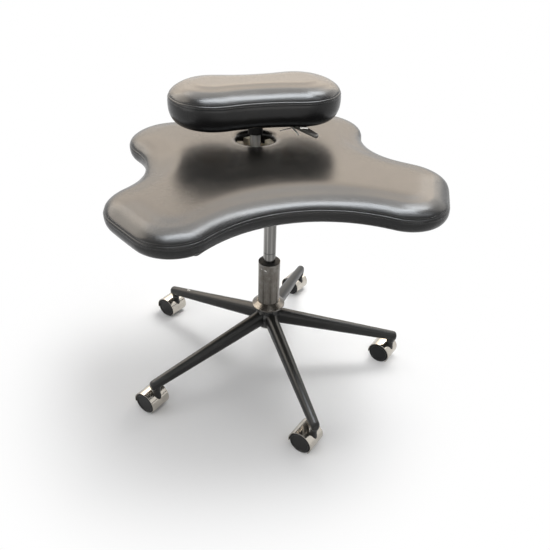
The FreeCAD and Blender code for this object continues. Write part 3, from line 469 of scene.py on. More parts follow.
@dataclass(frozen=True)
class Moulded(Finish):
    """Moulded plastic with a fine eroded texture, scuffs and dust."""

    name: str
    colour: Colour
    rough: float
    aged: Colour = (0.08, 0.078, 0.072)
    ageing: float = 0.3
    texture: float = 1500.0

    def paint(self, graph: Graph) -> None:
        """Fill in the material's nodes.

        Args:
            graph: Node tree to add to.
        """
        cloud = graph.noise(22.0, detail=4.0, rough=0.6)
        scuff = graph.noise(150.0, detail=5.0, rough=0.7, warp=1.5).rise(0.56, 0.76)
        rub = graph.edges(0.52, 0.60)
        wear = (scuff * 0.45 + rub * 0.35 + cloud.rise(0.45, 0.8) * 0.3) * self.ageing
        graph.set(Base_Color=graph.mixed(wear, self.colour, self.aged),
                  Roughness=self.rough + cloud * 0.10 - 0.05 + scuff * 0.12, IOR=1.33)
        eroded = graph.noise(self.texture, detail=2.0)
        relief = graph.bump(scuff, strength=0.12, depth=0.0003)
        graph.set(Normal=graph.bump(eroded, strength=0.18, depth=0.0002, under=relief))


@dataclass(frozen=True)
class Plywood(Finish):
    """Birch plywood: face grain on the flat sides and stacked veneers on the edge."""

    name: str
    pale: Colour = (0.50, 0.36, 0.21)
    dark: Colour = (0.30, 0.19, 0.095)
    ply: float = 0.0025

    def paint(self, graph: Graph) -> None:
        """Fill in the material's nodes.

        Args:
            graph: Node tree to add to.
        """
        grain = graph.noise(1.0, detail=5.0, rough=0.62, warp=1.4, at=graph.stretch(9.0, 130.0, 130.0))
        pores = graph.noise(1.0, detail=3.0, rough=0.7, at=graph.stretch(60.0, 1500.0, 1500.0)).rise(0.55, 0.72)
        layer = graph.node("ShaderNodeMath", {"operation": "PINGPONG"}, {0: graph.axis("Z"), 1: self.ply})
        stack = (layer / self.ply).rise(0.42, 0.58)
        flat = abs(graph.node("ShaderNodeSeparateXYZ", {}, {
            0: graph.node("ShaderNodeNewGeometry", {}, {}, "True Normal")}, "Z")).rise(0.4, 0.8)
        tone = flat * grain.rise(0.3, 0.72) + (1.0 - flat) * (stack * 0.8 + grain * 0.2)
        base = graph.mixed(tone, self.pale, self.dark)
        graph.set(Base_Color=graph.mixed(pores * 0.35, base, self.dark), Roughness=0.62 + grain * 0.16, IOR=1.45)
        graph.set(Normal=graph.bump(grain * 0.6 + pores * 0.4, strength=0.2, depth=0.0003))


@dataclass(frozen=True)
class Thread(Finish):
    """Waxed sewing thread, laid in two plies."""

    name: str
    colour: Colour = (0.022, 0.021, 0.020)

    def paint(self, graph: Graph) -> None:
        """Fill in the material's nodes.

        Args:
            graph: Node tree to add to.
        """
        ply = graph.node("ShaderNodeTexWave", {"wave_type": "BANDS", "bands_direction": "DIAGONAL"},
                         {"Vector": graph.place, "Scale": 900.0, "Distortion": 1.5, "Detail": 1.0})
        graph.set(Base_Color=graph.mixed(ply, self.colour, toned(self.colour, 2.0)), Roughness=0.48 + ply * 0.12)
        graph.set(Normal=graph.bump(ply, strength=0.4, depth=0.0002))


@dataclass(frozen=True)
class Floor(Finish):
    """Pale studio floor that takes the chair's soft shadow and runs out to plain white."""

    name: str
    pale: Colour = (0.90, 0.90, 0.90)
    specked: Colour = (0.86, 0.86, 0.86)
    middle: Point = (-0.10, 0.02, 0.0)
    near: float = 0.28
    far: float = 0.62

    def paint(self, graph: Graph) -> None:
        """Fill in the material's nodes.

        Args:
            graph: Node tree to add to.
        """
        speck = graph.noise(40.0, detail=4.0)
        graph.set(Base_Color=graph.mixed(speck * 0.06, self.pale, self.specked), Roughness=0.9,
                  Specular_IOR_Level=0.1)
        share = graph.away(self.middle).rise(self.near, self.far) * graph.seen()
        graph.whiten(share, "Principled BSDF", "ShaderNodeEmission", "Material Output")


class Look(Enum):
    """Named finishes of the chair's pieces."""

    PLATFORM_LEATHER = Leather("platform_leather", PLATFORM_SEAM_Z, sat_at=(0.0, 0.02, 0.523), sat_r=0.30)
    SEAT_LEATHER = Leather("seat_leather", SEAT_SEAM_Z, sat_at=(0.0, POST_Y, 0.652), sat_r=0.17)
    HEM_LEATHER = Leather("hem_leather", ABOVE_ALL_Z, sat_at=(0.0, 0.0, ABOVE_ALL_Z), sat_r=0.1)
    THREAD = Thread("seam_thread")
    LEG_COAT = Coat("leg_coat", (0.015, 0.015, 0.0142), rough=0.31, mottle=0.25, ior=1.33,
                    chips=((-0.1680, 0.1965, 0.0990, 0.0026), (-0.1645, 0.1915, 0.1003, 0.0022)))
    # The tube's pale vertical streaks are painted reflection.
    TUBE_COAT = Coat("tube_coat", (0.125, 0.114, 0.100), rough=0.24, metal=0.8, painted_streak=0.25, mottle=0.12,
                     chips=((-0.0212, -0.0133, 0.2759, 0.0012), (-0.0149, -0.0200, 0.2752, 0.0016),
                            (-0.0129, -0.0214, 0.2738, 0.0012)), bare_below=0.1128)
    BLACK_COAT = Coat("black_coat", (0.011, 0.011, 0.011), rough=0.34, mottle=0.2, ior=1.33)
    NICKEL = Plated("castor_nickel", (0.54, 0.505, 0.45), rough=0.10, grime=0.28)
    # The column's chrome has painted dark reflection bands and a painted darker right-front side.
    CHROME = Plated("lift_chrome", (0.35, 0.343, 0.33), rough=0.15, grime=0.15, painted_streak=0.75, ring_z=0.3125,
                    painted_dark_side=(0.87, -0.49, 0.0))
    # The post's near-white, mostly matte colour and its pale streaks are painted reflection, standing in for bright
    # chrome.
    POST_CHROME = Coat("post_chrome", (0.92, 0.91, 0.88), rough=0.16, metal=0.3, painted_streak=1.0, mottle=0.1)
    ZINC = Plated("zinc_steel", (0.56, 0.555, 0.53), rough=0.28, grime=0.30)
    LEVER_STEEL = Coat("lever_steel", (0.27, 0.262, 0.245), rough=0.32, metal=0.35, mottle=0.2)
    # Near-white plate for the tab on the lever's paddle: a painted highlight.
    GLINT_PLATE = Plated("glint_plate", (0.94, 0.92, 0.88), rough=0.30, grime=0.08)
    # Near-white matte coat for the lever's wire and clip, painted highlights: the clip stands in for the paddle's lit
    # edge.
    GLINT_WIRE = Coat("glint_wire", (0.90, 0.89, 0.84), rough=0.30, mottle=0.1)
    NYLON = Moulded("black_nylon", (0.010, 0.010, 0.0095), rough=0.42, aged=(0.05, 0.049, 0.045))
    WHEEL = Moulded("wheel_nylon", (0.009, 0.009, 0.0088), rough=0.36, aged=(0.06, 0.057, 0.052), ageing=0.35)
    CREAM = Moulded("cream_plastic", (0.93, 0.88, 0.73), rough=0.50, aged=(0.56, 0.47, 0.32))
    PLY = Plywood("birch_ply")
    FLOOR = Floor("studio_floor")

    @property
    def material(self) -> bpy.types.Material:
        """The finish's material."""
        return self.value.material()


def add_object(name: str, data: bpy.types.ID) -> bpy.types.Object:
    """Put a new object with the given data into the scene.

    Args:
        name: Name of the object.
        data: Its mesh, light or camera.

    Returns:
        The object.
    """
    made = bpy.data.objects.new(name, data)
    bpy.context.scene.collection.objects.link(made)
    return made


def evaluated(piece: bpy.types.Object) -> bpy.types.Object:
    """A piece with its modifiers worked out."""
    return piece.evaluated_get(bpy.context.evaluated_depsgraph_get())


def new_piece(name: str, points: Sequence[Sequence[float]], faces: Faces, look: Look,
              smooth: bool = True) -> bpy.types.Object:
    """Make a mesh piece with one finish.

    Args:
        name: Name of the piece.
        points: Vertices in metres, in the row frame.
        faces: Vertex indices of each face.
        look: Finish.
        smooth: Whether the faces are shaded smooth.

    Returns:
        The new object, linked into the scene.
    """
    mesh = bpy.data.meshes.new(name)
    mesh.from_pydata([tuple(map(float, point)) for point in points], [], faces)
    mesh.validate()
    mesh.materials.append(look.material)
    mesh.polygons.foreach_set("use_smooth", [smooth] * len(mesh.polygons))
    return add_object(name, mesh)


def round_section(sides: int) -> list[tuple[float, float]]:
    """Cosine and sine of evenly spaced turns."""
    return [(math.cos(math.tau * k / sides), math.sin(math.tau * k / sides)) for k in range(sides)]


def tube_faces(start: int, rings: int, sides: int, closed: bool = False) -> Faces:
    """Quads between rings of points that follow each other.

    Args:
        start: Index of the first point.
        rings: How many rings there are.
        sides: Points in each ring.
        closed: Whether the last ring joins the first.

    Returns:
        The faces.
    """
    faces: Faces = []
    for ring in range(rings if closed else rings - 1):
        here, there = start + ring * sides, start + (ring + 1) % rings * sides
        for turn in range(sides):
            after = (turn + 1) % sides
            faces.append((here + turn, here + after, there + after, there + turn))
    return faces


def add_tube(points: list[Vector], faces: Faces, rings: Sequence[tuple[Vector, Vector, Vector, float]],
             sides: int) -> None:
    """Add a round tube with closed ends to a mesh's points and faces.

    Args:
        points: Points so far, which are added to.
        faces: Faces so far, which are added to.
        rings: Middle, two directions across and radius of each ring.
        sides: Points in each ring.
    """
    start = len(points)
    for middle, across, up, radius in rings:
        points += [middle + (across * right + up * high) * radius for right, high in round_section(sides)]
    faces += tube_faces(start, len(rings), sides)
    faces.append(tuple(reversed(range(start, start + sides))))
    faces.append(tuple(range(len(points) - sides, len(points))))


def dress(names: Sequence[str], look: Look) -> None:
    """Give CAD nodes a finish.

    Args:
        names: Names of the nodes.
        look: Finish.
    """
    for name in names:
        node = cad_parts[name]
        if not node.material_slots:
            node.data.materials.append(look.material)
        for slot in node.material_slots:
            slot.material = look.material
        log.info("dressed %s in %s", name, look.value.name)


@dataclass(frozen=True)
class LobedOutline:
    """Plan outline of round lobes, joined by hollows or by straight tangents, anticlockwise."""

    discs: tuple[Point, ...]
    notches: tuple[Optional[float], ...]

    def _join(self, index: int, inset: float) -> tuple[Ring, Optional[Ring], Ring]:
        """Join a lobe to the next one.

        Args:
            index: Number of the lobe.
            inset: How far the outline is drawn in.

        Returns:
            Where the outline leaves the lobe, the centre of the hollow after it, and where the next lobe is met.
        """
        ax, ay, ar = self.discs[index]
        bx, by, br = self.discs[(index + 1) % len(self.discs)]
        a, b = np.array((ax, ay)), np.array((bx, by))
        ar, br = ar - inset, br - inset
        length = float(np.linalg.norm(b - a))
        along = (b - a) / length
        outside = np.array((along[1], -along[0]))
        notch = self.notches[index]
        if notch is None:
            lean = (ar - br) / length
            normal = outside * math.sqrt(1.0 - lean * lean) + along * lean
            return a + normal * ar, None, b + normal * br
        notch += inset
        forward = ((ar + notch) ** 2 - (br + notch) ** 2 + length ** 2) / (2.0 * length)
        hollow = a + along * forward + outside * math.sqrt((ar + notch) ** 2 - forward ** 2)
        leave = a + (hollow - a) / np.linalg.norm(hollow - a) * ar
        meet = b + (hollow - b) / np.linalg.norm(hollow - b) * br
        return leave, hollow, meet

    def path(self, inset: float, step: float) -> Ring:
        """Points along the outline, evenly spaced.

        Args:
            inset: How far the outline is drawn in.
            step: Distance between points, about.

        Returns:
            An array of x and y, closed without repeating the first point.
        """
        count = len(self.discs)
        joins = [self._join(index, inset) for index in range(count)]
        dense: list[Ring] = []
        for index, (x, y, _) in enumerate(self.discs):
            centre = np.array((x, y))
            leave, hollow, meet = joins[index]
            dense += self._arc(centre, joins[index - 1][2], leave, True)
            dense += self._arc(hollow, leave, meet, False) if hollow is not None else [leave]
        points = np.array(dense + dense[:1])
        reach = np.concatenate(([0.0], np.cumsum(np.linalg.norm(np.diff(points, axis=0), axis=1))))
        total = max(8, int(round(reach[-1] / step)))
        even = np.arange(total) * reach[-1] / total
        return np.stack([np.interp(even, reach, points[:, axis]) for axis in (0, 1)], axis=1)

    @staticmethod
    def _arc(centre: Ring, start: Ring, stop: Ring, left: bool) -> list[Ring]:
        """Close points on an arc, without the last one.

        Args:
            centre: Centre of the arc.
            start: Its first point.
            stop: Its last point.
            left: Whether it turns left.

        Returns:
            The points.
        """
        radius = np.linalg.norm(start - centre)
        begin = math.atan2(*(start - centre)[::-1])
        sweep = (math.atan2(*(stop - centre)[::-1]) - begin) % math.tau
        if not left:
            sweep -= math.tau
        steps = max(4, int(abs(sweep) * radius / FINE_STEP))
        angles = begin + sweep * np.arange(steps) / steps
        return [centre + radius * np.array((math.cos(angle), math.sin(angle))) for angle in angles]

    @staticmethod
    def outward(points: Ring) -> Ring:
        """Unit normals of a closed path that runs anticlockwise.

        Args:
            points: Points along the path.

        Returns:
            One normal for each point.
        """
        along = np.roll(points, -1, axis=0) - np.roll(points, 1, axis=0)
        along /= np.linalg.norm(along, axis=1)[:, None]
        return np.stack([along[:, 1], -along[:, 0]], axis=1)


@dataclass
class Pad:
    """A foam pad in leather: swollen body, top-stitched seam and the hem stapled under its board.

    The rolled foot (low), the rolled upper edge (high) and the crown each hold an inset and a height. The welt's
    rows and the stitch's rings hold a place, a height and a width.
    """

    name: str
    node: str
    body: str
    outline: LobedOutline
    look: Look
    foot: float
    top: float
    low: tuple[float, float]
    high: tuple[float, float]
    crown: tuple[float, float]
    seam_z: float
    hole: Optional[Point] = None
    hole_lip: float = 0.010
    hole_sides: int = 96
    foot_steps: int = 6
    roll_steps: int = 8
    ring_step: float = 0.004
    voxel: float = 0.005
    shrink: float = -0.0008
    swell: float = 0.0026
    pressure: float = 4.0
    stiffness: float = 18.0
    cloth_quality: int = 4
    cloth_frames: int = 20
    held_foot: float = 0.010
    held_rim: float = 0.006
    plain_rim: float = 0.03
    welt: tuple[Point, ...] = ((0.0, -0.0006, 0.0028), (0.5, 0.0004, 0.0030), (1.0, -0.0005, 0.0026))
    stitch: float = 0.0030
    stitch_pitch: float = 0.0044
    stitch_rows: tuple[float, float] = (0.0026, 0.0022 - SEAM_GAP)
    stitch_rings: tuple[Point, ...] = ((0.0, -0.0003, 0.25), (0.22, 0.0001, 0.9), (0.78, 0.0001, 0.9),
                                       (1.0, -0.0003, 0.25))
    thread_r: float = 0.00034
    thread_sides: int = 6
    needle_from: float = 0.02
    needle_reach: float = 0.08
    hem_inset: float = 0.0175
    hem_width: float = 0.030
    hem_thick: float = 0.0008
    hem_gap: float = 0.0003
    hem_bulge: float = 0.0006
    hem_pleat: float = 0.0009
    hem_shares: tuple[float, ...] = (0.0, 0.12, 0.35, 0.65, 0.9, 1.0)
    staple_pitch: float = 0.024
    staple_share: float = 0.55
    staple_lean: float = 0.35
    staple_half: float = 0.0052
    staple_drop: float = 0.0027
    staple_bend: float = 0.0003
    staple_wire: tuple[float, float] = (0.0006, 0.00035)
    piece: bpy.types.Object = field(default=None, repr=False)

    def levels(self, shrink: float) -> list[tuple[float, float]]:
        """Height and inset of the rings up the pad's side.

        Args:
            shrink: How far the rings are drawn in; below zero they are let out.

        Returns:
            Pairs from the foot to the crown.
        """
        rings = []
        for step in range(self.foot_steps + 1):
            angle = math.radians(90.0 * step / self.foot_steps)
            rings.append((self.foot + self.low[1] * (1.0 - math.cos(angle)),
                          self.low[0] * (1.0 - math.sin(angle)) + shrink))
        for step in range(self.roll_steps + 1):
            angle = math.radians(90.0 * step / self.roll_steps)
            rings.append((self.top - shrink - self.high[1] * (1.0 - math.sin(angle)),
                          self.high[0] * (1.0 - math.cos(angle)) + shrink))
        for share in (0.5, 1.0):
            inset = self.high[0] + (self.crown[0] - self.high[0]) * share
            rings.append((self.top - shrink + self.crown[1] * share * (2.0 - share), inset + shrink))
        return rings

    def shell(self, shrink: float) -> bpy.types.Mesh:
        """Closed shell of the pad, before it is filled.

        Args:
            shrink: How far the shell is drawn in.

        Returns:
            A mesh of rings, capped above and below, open only through the hole.
        """
        mesh = bpy.data.meshes.new(self.name + "_shell")
        work = bmesh.new()
        rings = []
        count = len(self.outline.path(self.crown[0], self.ring_step))
        for z, inset in self.levels(shrink):
            path = self.outline.path(inset, FINE_STEP)
            pick = path[np.arange(count) * len(path) // count]
            rings.append([work.verts.new((x, y, z)) for x, y in pick])
        caps = [self._loop(work, rings[0]), self._loop(work, rings[-1])]
        if self.hole is not None:
            wall = self._hole_rings(work, rings[0][0].co.z, rings[-1][0].co.z)
            caps[0] += self._loop(work, wall[0])
            caps[1] += self._loop(work, wall[-1])
            self._skin(work, wall)
        self._skin(work, rings)
        for edges in caps:
            bmesh.ops.triangle_fill(work, use_beauty=True, use_dissolve=False, edges=edges)
        bmesh.ops.recalc_face_normals(work, faces=work.faces)
        work.to_mesh(mesh)
        work.free()
        return mesh

    def _hole_rings(self, work: bmesh.types.BMesh, low: float, high: float) -> list[list[bmesh.types.BMVert]]:
        """Rings of the hole's wall with its rounded upper lip.

        Args:
            work: Mesh to add to.
            low: Height of the lowest ring.
            high: Height of the uppermost ring.

        Returns:
            The rings, from below.
        """
        x, y, radius = self.hole
        steps = [(low, 0.0), (high - self.hole_lip, 0.0)]
        steps += [(high - self.hole_lip * (1.0 - math.sin(math.radians(angle))),
                   self.hole_lip * (1.0 - math.cos(math.radians(angle)))) for angle in (30, 60, 90)]
        return [[work.verts.new((x + (radius + out) * right, y + (radius + out) * back, z))
                 for right, back in round_section(self.hole_sides)] for z, out in steps]

    @staticmethod
    def _loop(work: bmesh.types.BMesh, ring: list[bmesh.types.BMVert]) -> list[bmesh.types.BMEdge]:
        """Edges round one ring."""
        return [work.edges.new((ring[k - 1], ring[k])) for k in range(len(ring))]

    @staticmethod
    def _skin(work: bmesh.types.BMesh, rings: list[list[bmesh.types.BMVert]]) -> None:
        """Quads between rings of equal count.

        Args:
            work: Mesh to add to.
            rings: The rings, in order.
        """
        for lower, upper in zip(rings, rings[1:]):
            for k in range(len(lower)):
                work.faces.new((lower[k - 1], lower[k], upper[k], upper[k - 1]))

    def build(self) -> None:
        """Make the pad, its stitches, hem and staples, and let them ride on their body."""
        piece = add_object(self.name, self._remeshed(self.shell(self.shrink)))
        self._swell(piece)
        self._settle(piece)
        piece.data.materials.append(self.look.material)
        self.piece = piece
        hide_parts(self.node)
        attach(piece, self.body)
        log.info("made %s with %d faces", self.name, len(piece.data.polygons))
        self._stitches()
        self._hem()

    def _remeshed(self, mesh: bpy.types.Mesh) -> bpy.types.Mesh:
        """Even quads over a shell.

        Args:
            mesh: The shell.

        Returns:
            The new mesh.
        """
        source = add_object(self.name + "_source", mesh)
        remesh = source.modifiers.new("even", "REMESH")
        remesh.mode = "VOXEL"
        remesh.voxel_size = self.voxel
        even = bpy.data.meshes.new_from_object(evaluated(source))
        bpy.data.objects.remove(source)
        even.name = self.name
        return even

    def _near_hole(self, points: Ring, margin: float) -> Ring:
        """Which points lie near the hole in plan.

        Args:
            points: One row for each point.
            margin: Distance from the hole's edge.

        Returns:
            True for each point within the margin.
        """
        if self.hole is None:
            return np.zeros(len(points), bool)
        x, y, radius = self.hole
        return np.hypot(points[:, 0] - x, points[:, 1] - y) < radius + margin

    def _swell(self, piece: bpy.types.Object) -> None:
        """Fill the leather with foam: inflate it as cloth, with its foot and hole held.

        Args:
            piece: The pad.
        """
        rest = self._points(piece.data)
        pinned = (rest[:, 2] < self.foot + self.held_foot) | self._near_hole(rest, self.hole_lip + self.held_rim)
        hold = piece.vertex_groups.new(name="hold")
        hold.add([int(k) for k in np.nonzero(pinned)[0]], 1.0, "REPLACE")
        cloth = piece.modifiers.new("foam", "CLOTH")
        cloth.settings.vertex_group_mass = "hold"
        cloth.settings.quality = self.cloth_quality
        cloth.settings.use_pressure = True
        cloth.settings.uniform_pressure_force = self.pressure
        cloth.settings.tension_stiffness = self.stiffness
        cloth.settings.compression_stiffness = self.stiffness
        cloth.settings.effector_weights.gravity = 0.0
        cloth.point_cache.frame_start = 1
        cloth.point_cache.frame_end = self.cloth_frames
        scene = bpy.context.scene
        for number in range(1, self.cloth_frames + 1):
            scene.frame_set(number)
        blown = evaluated(piece).to_mesh()
        move = self._points(blown) - rest
        far = np.linalg.norm(move, axis=1)
        move *= np.minimum(1.0, self.swell / np.maximum(far, 1e-9))[:, None]
        move = self._eased(piece.data, move, rounds=60, ease=0.5, back=0.0)
        piece.modifiers.clear()
        scene.frame_set(1)
        self._place(piece.data, rest + move)
        piece.vertex_groups.clear()
        log.info("filled %s, largest move %.1f mm", self.name, 1000.0 * float(np.minimum(far, self.swell).max()))

    def _settle(self, piece: bpy.types.Object) -> None:
        """Ease the skin, divide it once more, and press the seam and its welt into the side.

        Args:
            piece: The pad.
        """
        self._place(piece.data, self._eased(piece.data, self._points(piece.data), rounds=24, ease=0.5, back=-0.52))
        finer = piece.modifiers.new("finer", "SUBSURF")
        finer.levels = finer.render_levels = 1
        mesh = bpy.data.meshes.new_from_object(evaluated(piece))
        piece.modifiers.clear()
        old, piece.data = piece.data, mesh
        bpy.data.meshes.remove(old)
        mesh.name = self.name
        points = self._points(mesh)
        normals = np.array([vertex.normal for vertex in mesh.vertices])
        side = np.clip(1.0 - np.abs(normals[:, 2]) * 0.9, 0.0, 1.0)
        side *= ~self._near_hole(points, self.plain_rim)
        depth = points[:, 2] - self.seam_z
        press = sum(height * np.exp(-((depth + SEAM_GAP * share) / width) ** 2) for share, height, width in self.welt)
        points += normals * (press * side)[:, None]
        points[:, 2] = np.maximum(points[:, 2], self.foot)
        self._place(mesh, points)
        mesh.polygons.foreach_set("use_smooth", [True] * len(mesh.polygons))
        mesh.update()

    @staticmethod
    def _eased(mesh: bpy.types.Mesh, values: Ring, rounds: int, ease: float, back: float) -> Ring:
        """Values at the vertices, evened out over their neighbours.

        Args:
            mesh: Mesh whose edges say which vertices are neighbours.
            values: One row for each vertex.
            rounds: How often each value moves towards its neighbours.
            ease: Share of that move.
            back: Share of the move back after it, which keeps the size.

        Returns:
            The evened values.
        """
        edges = np.empty(len(mesh.edges) * 2, np.int32)
        mesh.edges.foreach_get("vertices", edges)
        first, second = edges.reshape(-1, 2).T
        count = np.bincount(edges, minlength=len(values))[:, None]
        for _ in range(rounds):
            for share in (ease, back):
                total = np.zeros_like(values)
                np.add.at(total, first, values[second])
                np.add.at(total, second, values[first])
                values = values + (total / count - values) * share
        return values

    @staticmethod
    def _points(mesh: bpy.types.Mesh) -> Ring:
        """Vertices of a mesh as an array.

        Args:
            mesh: The mesh.

        Returns:
            One row for each vertex.
        """
        points = np.empty(len(mesh.vertices) * 3, np.float32)
        mesh.vertices.foreach_get("co", points)
        return points.reshape(-1, 3).astype(float)

    @staticmethod
    def _place(mesh: bpy.types.Mesh, points: Ring) -> None:
        """Move a mesh's vertices to an array of points."""
        mesh.vertices.foreach_set("co", points.astype(np.float32).ravel())

    def _stitches(self) -> None:
        """Rows of stitches beside the seam, laid on the pad's surface."""
        tree = BVHTree.FromObject(self.piece, bpy.context.evaluated_depsgraph_get())
        points: list[Vector] = []
        faces: Faces = []
        path = self.outline.path(0.0, self.stitch_pitch)
        normals = self.outline.outward(path)
        along = np.stack([-normals[:, 1], normals[:, 0]], axis=1)
        for height in self.stitch_rows:
            for spot, normal, way in zip(path, normals, along):
                ends = []
                for shift in (-0.5, 0.5):
                    flat = spot + way * self.stitch * shift + normal * self.needle_from
                    start = Vector((flat[0], flat[1], self.seam_z + height))
                    inward = Vector((-normal[0], -normal[1], 0.0))
                    hit, face_normal, _, _ = tree.ray_cast(start, inward, self.needle_reach)
                    if hit is not None:
                        ends.append((hit, face_normal))
                if len(ends) == 2:
                    self._stitch(points, faces, ends)
        thread = new_piece(self.name + "_thread", points, faces, Look.THREAD)
        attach(thread, self.body)
        log.info("sewed %s", thread.name)

    def _stitch(self, points: list[Vector], faces: Faces, ends: list[tuple[Vector, Vector]]) -> None:
        """One stitch: a short thread that dips into the leather at both ends.

        Args:
            points: Points of the thread so far, which are added to.
            faces: Faces of the thread so far, which are added to.
            ends: Place and surface normal of both ends.
        """
        (first, normal), (second, _) = ends
        side = (second - first).normalized().cross(normal).normalized()
        rings = [(first.lerp(second, share) + normal * high, side, normal, self.thread_r * wide)
                 for share, high, wide in self.stitch_rings]
        add_tube(points, faces, rings, self.thread_sides)

    def _hem(self) -> None:
        """Leather turned under the board, gathered in small pleats, and the staples that hold it."""
        outer = self.outline.path(self.hem_inset, self.ring_step)
        count, rows = len(outer), len(self.hem_shares)
        points: list[Point] = []
        faces: Faces = []
        for index, (spot, normal) in enumerate(zip(outer, self.outline.outward(outer))):
            pleat = 0.5 + 0.5 * math.sin(index * 1.9 + 2.0 * math.sin(index * 0.37))
            width = self.hem_width * (0.92 + 0.12 * math.sin(index * 0.23 + math.sin(index * 0.71)))
            for share in self.hem_shares:
                x, y = spot - normal * width * share
                bulge = math.sin(math.pi * min(1.0, share * 1.05 + 0.02))
                hang = bulge * (self.hem_bulge + self.hem_pleat * pleat * share)
                points.append((x, y, self.foot - self.hem_gap - hang))
            for row in range(rows - 1):
                a, b = index * rows + row, (index + 1) % count * rows + row
                faces.append((a, a + 1, b + 1, b))
        hem = new_piece(self.name + "_hem", points, faces, Look.HEM_LEATHER)
        thick = hem.modifiers.new("thick", "SOLIDIFY")
        thick.thickness = self.hem_thick
        thick.offset = 0.0
        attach(hem, self.body)
        self._staples()
        log.info("turned %s under", hem.name)

    def _staples(self) -> None:
        """Wire staples through the hem, each a little askew."""
        path = self.outline.path(self.hem_inset + self.hem_width * self.staple_share, self.staple_pitch)
        crown_z = self.foot - self.staple_drop
        bends = ((-1.0, self.foot), (-1.0, crown_z + self.staple_bend), (-0.9, crown_z), (0.9, crown_z),
                 (1.0, crown_z + self.staple_bend), (1.0, self.foot))
        wide, thin = self.staple_wire
        section = ((-wide, -thin), (wide, -thin), (wide, thin), (-wide, thin))
        points: list[Vector] = []
        faces: Faces = []
        for index, (spot, normal) in enumerate(zip(path, self.outline.outward(path))):
            lean = self.staple_lean * math.sin(index * 2.3)
            way = Vector((-normal[1] + normal[0] * lean, normal[0] + normal[1] * lean, 0.0)).normalized()
            side = way.cross(UP)
            faces += tube_faces(len(points), len(bends), len(section))
            for share, z in bends:
                middle = Vector((spot[0], spot[1], z)) + way * self.staple_half * share
                points += [middle + side * across + UP * high for across, high in section]
        staples = new_piece(self.name + "_staples", points, faces, Look.ZINC, smooth=False)
        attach(staples, self.body)
        log.info("drove %s", staples.name)


@dataclass
class WeldBead:
    """A rippled fillet of weld round a tube where it meets a plate."""

    name: str
    body: str
    centre: Point
    radius: float
    bead: float = 0.0026
    gap: tuple[float, float] = (0.0, 0.0)
    steps: int = 160
    sides: int = 8
    coarse_ripple: float = 0.16
    fine_ripple: float = 0.06

    def build(self) -> None:
        """Make the bead and let it ride on its body."""
        points: list[Point] = []
        start, stop = (math.radians(angle) for angle in self.gap)
        closed = start == stop
        spans = self.steps if closed else self.steps - 1
        x, y, z = self.centre
        for step in range(self.steps):
            turn = stop + (math.tau - (stop - start)) * step / spans
            ripple = self.coarse_ripple * math.sin(step * 2.4) + self.fine_ripple * math.sin(step * 0.61)
            size = self.bead * (1.0 + ripple)
            for right, high in round_section(self.sides):
                out = self.radius + size * right
                points.append((x + out * math.cos(turn), y + out * math.sin(turn), z - size * high))
        faces = tube_faces(0, self.steps, self.sides, closed)
        piece = new_piece(self.name, points, faces, Look.BLACK_COAT)
        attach(piece, self.body)
        log.info("laid %s", self.name)


@dataclass
class Platform:
    """The broad four-lobed pad with its plate, lever, grommet and bolts.

    The right half's lobes, from the front, hold x, y and radius. Each notch is the radius of a hollow.
    """

    half: tuple[Point, ...] = ((0.225, -0.176, 0.083), (0.2525, -0.1015, 0.092), (0.172, 0.2175, 0.106))
    front_notch: float = 0.265
    side_notch: float = 0.170
    back_notch: float = 0.345
    low: tuple[float, float] = (0.0155, 0.022)
    high: tuple[float, float] = (0.045, 0.024)
    crown: tuple[float, float] = (0.074, 0.003)
    hole_r: float = 0.044
    plate: float = 0.004
    socket_r: float = 0.0225
    post_ring_r: float = 0.0315

    def build(self) -> None:
        """Make the pad and the welds under it."""
        discs = self.half + tuple((-x, y, r) for x, y, r in reversed(self.half))
        notches = (None, self.side_notch, self.back_notch, self.side_notch, None, self.front_notch)
        low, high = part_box("platform_cushion")
        pad = Pad("platform_pad", "platform_cushion", "platform", LobedOutline(discs, notches), Look.PLATFORM_LEATHER,
                  foot=low.z, top=high.z - self.crown[1], low=self.low, high=self.high, crown=self.crown,
                  seam_z=PLATFORM_SEAM_Z, hole=(0.0, POST_Y, self.hole_r))
        pad.build()
        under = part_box("platform_board")[0].z - self.plate
        WeldBead("socket_weld", "platform", (0.0, 0.0, under), self.socket_r).build()
        WeldBead("post_ring_weld", "platform", (0.0, POST_Y, under), self.post_ring_r).build()

    def dress(self) -> None:
        """Finish the platform's CAD nodes."""
        dress(["platform_board"], Look.PLY)
        dress(["platform_plate", "platform_lever"], Look.BLACK_COAT)
        dress(["platform_bolts", "platform_lever_pin"], Look.ZINC)
        dress(["platform_lever_grip"], Look.NYLON)
        dress(["platform_grommet"], Look.CREAM)


